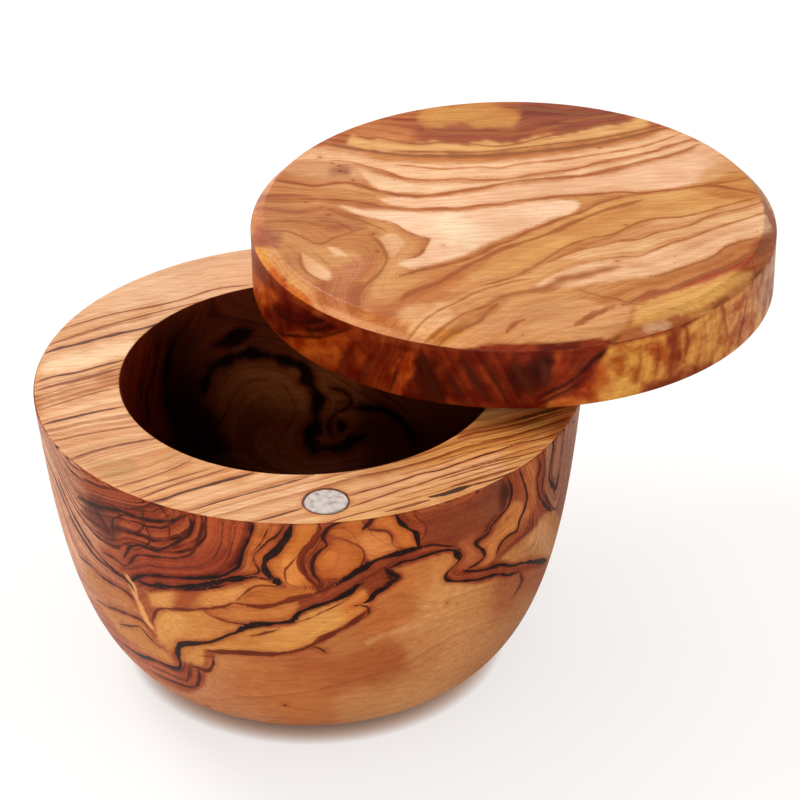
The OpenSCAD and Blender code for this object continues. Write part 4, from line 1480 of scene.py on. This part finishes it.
# Oiled olive wood, read from the corners' attributes
def oliveWood(name, wood):
    material, tree = newMaterial(name)
    place = addNode(tree, "ShaderNodeTexCoord").outputs["Object"]
    even = (1, 1, 1)

    def kept(attribute, output="Fac"):
        return addNode(tree, "ShaderNodeAttribute", attribute_name=attribute).outputs[output]

    def vectorMaths(operation, inputs):
        return addNode(tree, "ShaderNodeVectorMath", inputs, operation=operation)

    def darker(colour, share, tint):
        return mixColour(tree, share, colour, fromSrgb(tint), "MULTIPLY")

    level, strength, tone = kept("grainLevel"), kept("lineStrength"), kept("veinTone")
    sway = objectNoise(tree, place, even, wood["swayScale"], 2.0, 0.5)
    ripple = objectNoise(tree, place, even, wood["rippleScale"], 3.0, 0.6, shift=(0.3, 0.1, 0.2))
    swell = objectNoise(tree, place, even, wood["swellScale"], 1.0, shift=(0.7, 0.2, 0.4))
    turn = wood["streakTurn"]
    streak = objectNoise(tree, place, wood["streakStretch"], wood["streakScale"], 4.0, 0.6, turn=turn)
    pore = objectNoise(tree, place, wood["poreStretch"], wood["poreScale"], 2.0, 0.5, turn=turn)

    # veins: the offset wanders a little, the edge is frayed, and the width swells and thins
    wandering = {"Vector": place, "Scale": wood["driftScale"], "Detail": 3.0}
    drift = addNode(tree, "ShaderNodeTexNoise", wandering)
    drift = vectorMaths("SUBTRACT", {0: drift.outputs["Color"], 1: (0.5, 0.5, 0.5)})
    drift = vectorMaths("SCALE", {0: drift.outputs[0], "Scale": wood["wander"]})
    offset = vectorMaths("ADD", {0: kept("veinOffset", "Vector"), 1: drift.outputs[0]})
    gap = vectorMaths("LENGTH", {0: offset.outputs[0]}).outputs["Value"]
    fray = maths(tree, "MULTIPLY", maths(tree, "SUBTRACT", ripple, 0.5), wood["fray"])
    breadth = ramp(tree, swell, 0.3, 0.7, wood["thin"], wood["thick"])
    width = maths(tree, "MULTIPLY", kept("veinHalf"), breadth)
    past = maths(tree, "SUBTRACT", maths(tree, "ADD", gap, fray), width)
    soft = maths(tree, "ADD", kept("veinSoft"), wood["veinSoft"])
    inside = ramp(tree, maths(tree, "DIVIDE", past, soft), 1.0, -1.0)
    halo = ramp(tree, maths(tree, "DIVIDE", past, wood["haloReach"]), 1.0, 0.0)
    halo = maths(tree, "MULTIPLY", halo, maths(tree, "MULTIPLY", tone, wood["haloStrength"]))

    # growth lines that run with the veins: broad bands, then thin threads
    bent = maths(tree, "ADD", level, maths(tree, "MULTIPLY", sway, wood["lineSway"]))

    def growth(rate):
        along = maths(tree, "MULTIPLY", bent, rate)
        noise = addNode(
            tree, "ShaderNodeTexNoise", {"W": along, "Scale": 1.0, "Detail": 1.0}, noise_dimensions="1D"
        )
        return noise.outputs["Fac"]

    band = ramp(tree, growth(wood["bandRate"]), 0.42, 0.62)
    band = maths(tree, "MULTIPLY", maths(tree, "MULTIPLY", band, strength), wood["bandShare"])
    thread = None
    for rate, thickness, share in wood["threads"]:
        crossing = maths(tree, "ABSOLUTE", maths(tree, "SUBTRACT", growth(rate), 0.5))
        one = maths(tree, "MULTIPLY", ramp(tree, crossing, thickness, thickness * 0.2), share)
        thread = one if thread is None else maths(tree, "MAXIMUM", thread, one)
    fading = ramp(tree, swell, 0.25, 0.6, wood["threadLeast"], 1.0)
    thread = maths(tree, "MULTIPLY", maths(tree, "MULTIPLY", thread, strength), fading)

    colour = darker(kept("woodTintWithPaintedLight", "Color"), band, wood["bandTint"])
    colour = darker(colour, thread, wood["threadTint"])
    fibre = maths(tree, "MULTIPLY", ramp(tree, streak, 0.3, 0.7), wood["fibreShare"])
    colour = darker(colour, fibre, wood["fibreTint"])
    cloud = objectNoise(tree, place, even, wood["cloudScale"], 2.0, shift=(0.1, 0.9, 0.3))
    cloud = maths(tree, "MULTIPLY", ramp(tree, cloud, 0.35, 0.7), wood["cloudShare"])
    colour = darker(colour, cloud, wood["cloudTint"])
    colour = darker(colour, halo, wood["haloTint"])
    soaked = darker(colour, 1.0, wood["soakedTint"])
    ink = mixColour(tree, ramp(tree, tone, 0.0, 0.5, kind="LINEAR"), soaked, fromSrgb(wood["brownVein"]))
    ink = mixColour(tree, ramp(tree, tone, 0.5, 1.0, kind="LINEAR"), ink, fromSrgb(wood["blackVein"]))
    inked = maths(tree, "MULTIPLY", inside, ramp(tree, ripple, 0.2, 0.7, wood["inkLeast"], 1.0))
    colour = mixColour(tree, inked, colour, ink)
    speck = maths(tree, "MULTIPLY", ramp(tree, pore, 0.70, 0.76), wood["poreShare"])
    colour = mixColour(tree, speck, colour, fromSrgb(wood["poreTint"]))

    # bump: the streaks stand up, the pores and veins lie lower
    height = maths(tree, "MULTIPLY", streak, 0.5)
    height = maths(tree, "SUBTRACT", height, maths(tree, "MULTIPLY", speck, 1.5))
    height = maths(tree, "SUBTRACT", height, maths(tree, "MULTIPLY", inside, 0.4))
    bumps = {"Strength": wood["bumpStrength"], "Distance": wood["bumpDepth"], "Height": height}
    bump = addNode(tree, "ShaderNodeBump", bumps)
    rough = ramp(tree, streak, 0.2, 0.8, wood["roughness"] - 0.06, wood["roughness"] + 0.08)
    shader = addNode(
        tree,
        "ShaderNodeBsdfPrincipled",
        {
            "Base Color": colour,
            "Roughness": rough,
            "Normal": bump.outputs[0],
            "Specular IOR Level": wood["specular"],
            "Coat Weight": wood["coat"],
            "Coat Roughness": wood["coatRoughness"],
        },
    )
    addNode(tree, "ShaderNodeOutputMaterial", {"Surface": shader.outputs[0]})
    return material


sideWood = {
    "streakStretch": (0.10, 1.0, 1.0),
    "streakScale": 1500,
    "streakTurn": (0, 0, 0.25),
    "poreStretch": (0.5, 1.0, 1.0),
    "poreScale": 1500,
    "swayScale": 210,
    "rippleScale": 900,
    "swellScale": 260,
    "driftScale": 330,
    "wander": 0.5,
    "fray": 0.22,
    "thin": 0.5,
    "thick": 1.25,
    "veinSoft": 0.12,
    "inkLeast": 0.9,
    "haloReach": 1.3,
    "haloStrength": 0.5,
    "haloTint": (196, 128, 84),
    "lineSway": 1.0,
    "bandRate": 0.8,
    "bandShare": 0.5,
    "bandTint": (190, 124, 86),
    "threads": ((0.6, 0.024, 0.95), (1.4, 0.022, 0.65), (2.9, 0.03, 0.35)),
    "threadTint": (104, 46, 26),
    "threadLeast": 0.3,
    "fibreShare": 0.6,
    "fibreTint": (222, 198, 174),
    "cloudShare": 0.5,
    "cloudScale": 70,
    "cloudTint": (226, 200, 178),
    "soakedTint": (182, 128, 96),
    "brownVein": (96, 36, 14),
    "blackVein": (14, 5, 3),
    "poreShare": 0.5,
    "poreTint": (70, 32, 18),
    "bumpStrength": 0.25,
    "bumpDepth": 0.00012,
    "roughness": 0.42,
    "specular": 0.08,
    "coat": 0.03,
    "coatRoughness": 0.3,
}
rimWood = dict(
    sideWood,
    wander=0.2,
    fray=0.08,
    thin=0.65,
    thick=1.0,
    haloReach=1.6,
    haloStrength=0.45,
    haloTint=(230, 178, 118),
    bandRate=0.55,
    bandShare=0.8,
    bandTint=(226, 180, 128),
    threads=((0.5, 0.024, 0.9), (1.1, 0.02, 0.6), (2.7, 0.03, 0.4)),
    threadTint=(150, 90, 52),
    threadLeast=0.8,
    brownVein=(126, 66, 30),
    blackVein=(54, 22, 10),
    cloudShare=0.3,
    coat=0.05,
)
wellWood = dict(sideWood, wander=0.8, veinSoft=0.3, haloReach=2.2, blackVein=(8, 3, 2))
lidTopWood = dict(
    sideWood,
    streakTurn=(0, 0, 0.1),
    wander=0.35,
    fray=0.2,
    thick=0.95,
    veinSoft=0.36,
    haloReach=1.5,
    haloStrength=0.45,
    haloTint=(226, 172, 120),
    bandRate=0.4,
    bandShare=0.7,
    bandTint=(226, 184, 134),
    threads=((0.5, 0.04, 0.6), (1.2, 0.035, 0.45), (2.6, 0.04, 0.35)),
    threadTint=(190, 138, 88),
    soakedTint=(212, 168, 112),
    brownVein=(158, 90, 38),
    blackVein=(62, 22, 10),
    roughness=0.40,
    specular=0.06,
    coat=0.08,
    coatRoughness=0.15,
)
lidSideWood = dict(
    sideWood,
    wander=0.8,
    veinSoft=0.35,
    haloStrength=0.2,
    bandRate=0.5,
    bandTint=(180, 104, 60),
    cloudShare=1.0,
    cloudScale=250,
    cloudTint=(196, 132, 88),
    threads=((0.8, 0.05, 0.25), (1.9, 0.05, 0.25)),
    threadTint=(150, 84, 52),
    brownVein=(120, 46, 16),
    blackVein=(36, 8, 3),
    roughness=0.38,
    specular=0.05,
    coat=0.04,
)

bowlRegions = [
    {
        "name": "side",
        "wood": sideWood,
        "holds": onSide,
        "keep": hitsSide,
        "fold": foldSide,
        "veins": sideVeins,
        "tints": sideTints,
        "areas": sideAreas,
        "spots": sideSpots,
        "ground": {"colour": (166, 84, 44), "lines": 0.9},
    },
    {
        "name": "rim",
        "wood": rimWood,
        "holds": onRim,
        "keep": lambda place: place[2] > bowlTop - borders["rimHit"],
        "fold": stay,
        "veins": rimVeins,
        "tints": rimTints,
        "ground": {"colour": (240, 186, 130), "lines": 0.7},
    },
    {
        "name": "well",
        "wood": wellWood,
        "holds": inWell,
        "keep": lambda place: fromAxis(place) < mouth + borders["mouthHit"],
        "fold": foldWell,
        "veins": wellVeins,
        "tints": wellTints,
        # The well's ground is the wood darkened: painted shade.
        "ground": {"colour": (92, 40, 20), "lines": 0.7},
    },
]
lidRegions = [
    {
        "name": "lidTop",
        "wood": lidTopWood,
        "holds": onLidTop,
        "keep": lambda place: place[2] > lidShoulder,
        "fold": stay,
        "veins": lidTopVeins,
        "tints": lidTopTints,
        "areas": lidTopAreas,
        "spots": lidTopSpots,
        "ground": {"colour": (216, 152, 88), "lines": 0.7},
    },
    {
        "name": "lidSide",
        "wood": lidSideWood,
        "holds": onLidSide,
        "keep": lambda place: place[2] < lidShoulder + borders["shoulderHit"],
        "fold": foldLidSide,
        "veins": lidSideVeins,
        "tints": lidSideTints,
        "areas": lidSideAreas,
        "ground": {"colour": (150, 66, 26), "lines": 0.5},
    },
]


drawFigure(turnedBowl, bowlRegions)
drawFigure(turnedLid, lidRegions)
print("wood finished")


# Small metal and plastic pieces keep their solids and get worn finishes
fittings = {
    "nickelPale": (192, 180, 172),
    "nickelWorn": (128, 118, 112),
    "nickelRough": (0.34, 0.56),
    "nickelMetal": 0.25,
    "steelBright": (196, 197, 200),
    "steelDull": (142, 143, 147),
    "brassBright": (214, 170, 92),
    "brassDull": (150, 106, 50),
    "turnedRing": 9000,
    "washerBlack": (26, 25, 25),
    "washerWorn": (48, 46, 45),
    "washerRough": (0.38, 0.58),
    "mottleScale": 620,
    "scratchScale": 3200,
    "crossingScale": 2600,
    "smearScale": 500,
    "grainScale": 2400,
    "wearScale": 420,
}


def finish(nodeName, material):
    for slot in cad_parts[nodeName].material_slots:
        slot.material = material


def wornNickel():
    material, tree = newMaterial("wornNickel")
    place = addNode(tree, "ShaderNodeTexCoord").outputs["Object"]
    mottle = objectNoise(tree, place, (1, 1, 1), fittings["mottleScale"], 4.0, 0.65)
    scratchScale, crossingScale = fittings["scratchScale"], fittings["crossingScale"]
    scratch = objectNoise(tree, place, (0.12, 1.0, 1.0), scratchScale, 3.0, 0.6, turn=(0, 0, 0.5))
    crossing = objectNoise(tree, place, (1.0, 0.10, 1.0), crossingScale, 3.0, 0.6, turn=(0, 0, -0.4))
    worn = maths(tree, "MULTIPLY", ramp(tree, mottle, 0.44, 0.66), 0.75)
    marks = maths(tree, "MAXIMUM", ramp(tree, scratch, 0.58, 0.72), ramp(tree, crossing, 0.6, 0.74))
    worn = maths(tree, "MAXIMUM", worn, maths(tree, "MULTIPLY", marks, 0.6))
    colour = mixColour(tree, worn, fromSrgb(fittings["nickelPale"]), fromSrgb(fittings["nickelWorn"]))
    bump = addNode(tree, "ShaderNodeBump", {"Strength": 0.4, "Distance": 0.00005, "Height": marks})
    shader = addNode(
        tree,
        "ShaderNodeBsdfPrincipled",
        {
            "Base Color": colour,
            "Metallic": fittings["nickelMetal"],
            "Roughness": ramp(tree, mottle, 0.3, 0.7, *fittings["nickelRough"]),
            "Normal": bump.outputs[0],
        },
    )
    addNode(tree, "ShaderNodeOutputMaterial", {"Surface": shader.outputs[0]})
    return material


def turnedMetal(name, bright, dull, roughness):
    material, tree = newMaterial(name)
    place = addNode(tree, "ShaderNodeTexCoord").outputs["Object"]
    rings = objectNoise(tree, place, (0.02, 0.02, 1.0), fittings["turnedRing"], 2.0, 0.5)
    smear = objectNoise(tree, place, (1, 1, 1), fittings["smearScale"], 3.0, 0.6)
    share = maths(tree, "MULTIPLY", maths(tree, "ADD", rings, smear), 0.5)
    colour = mixColour(tree, ramp(tree, share, 0.35, 0.65), fromSrgb(bright), fromSrgb(dull))
    bump = addNode(tree, "ShaderNodeBump", {"Strength": 0.3, "Distance": 0.00003, "Height": rings})
    shader = addNode(
        tree,
        "ShaderNodeBsdfPrincipled",
        {
            "Base Color": colour,
            "Metallic": 1.0,
            "Roughness": ramp(tree, smear, 0.3, 0.7, roughness, roughness + 0.15),
            "Normal": bump.outputs[0],
        },
    )
    addNode(tree, "ShaderNodeOutputMaterial", {"Surface": shader.outputs[0]})
    return material


def washerPlastic():
    material, tree = newMaterial("washerPlastic")
    place = addNode(tree, "ShaderNodeTexCoord").outputs["Object"]
    grain = objectNoise(tree, place, (1, 1, 1), fittings["grainScale"], 3.0, 0.6)
    wear = objectNoise(tree, place, (1, 1, 1), fittings["wearScale"], 3.0, 0.6, shift=(0.4, 0.1, 0.2))
    black, worn = fromSrgb(fittings["washerBlack"]), fromSrgb(fittings["washerWorn"])
    colour = mixColour(tree, ramp(tree, wear, 0.45, 0.7), black, worn)
    bump = addNode(tree, "ShaderNodeBump", {"Strength": 0.3, "Distance": 0.00004, "Height": grain})
    shader = addNode(
        tree,
        "ShaderNodeBsdfPrincipled",
        {
            "Base Color": colour,
            "Roughness": ramp(tree, wear, 0.3, 0.7, *fittings["washerRough"]),
            "Normal": bump.outputs[0],
        },
    )
    addNode(tree, "ShaderNodeOutputMaterial", {"Surface": shader.outputs[0]})
    return material


nickel = wornNickel()
finish("bowl_magnet", nickel)
finish("lid_magnet", nickel)
finish("pivot_pin", turnedMetal("groundSteel", fittings["steelBright"], fittings["steelDull"], 0.22))
finish("pivot_sleeve", turnedMetal("turnedBrass", fittings["brassBright"], fittings["brassDull"], 0.28))
finish("pivot_washer", washerPlastic())
print("fittings finished")

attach(turnedBowl, "keeper_base")
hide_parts("bowl")
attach(turnedLid, "swivel_lid")
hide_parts("lid")
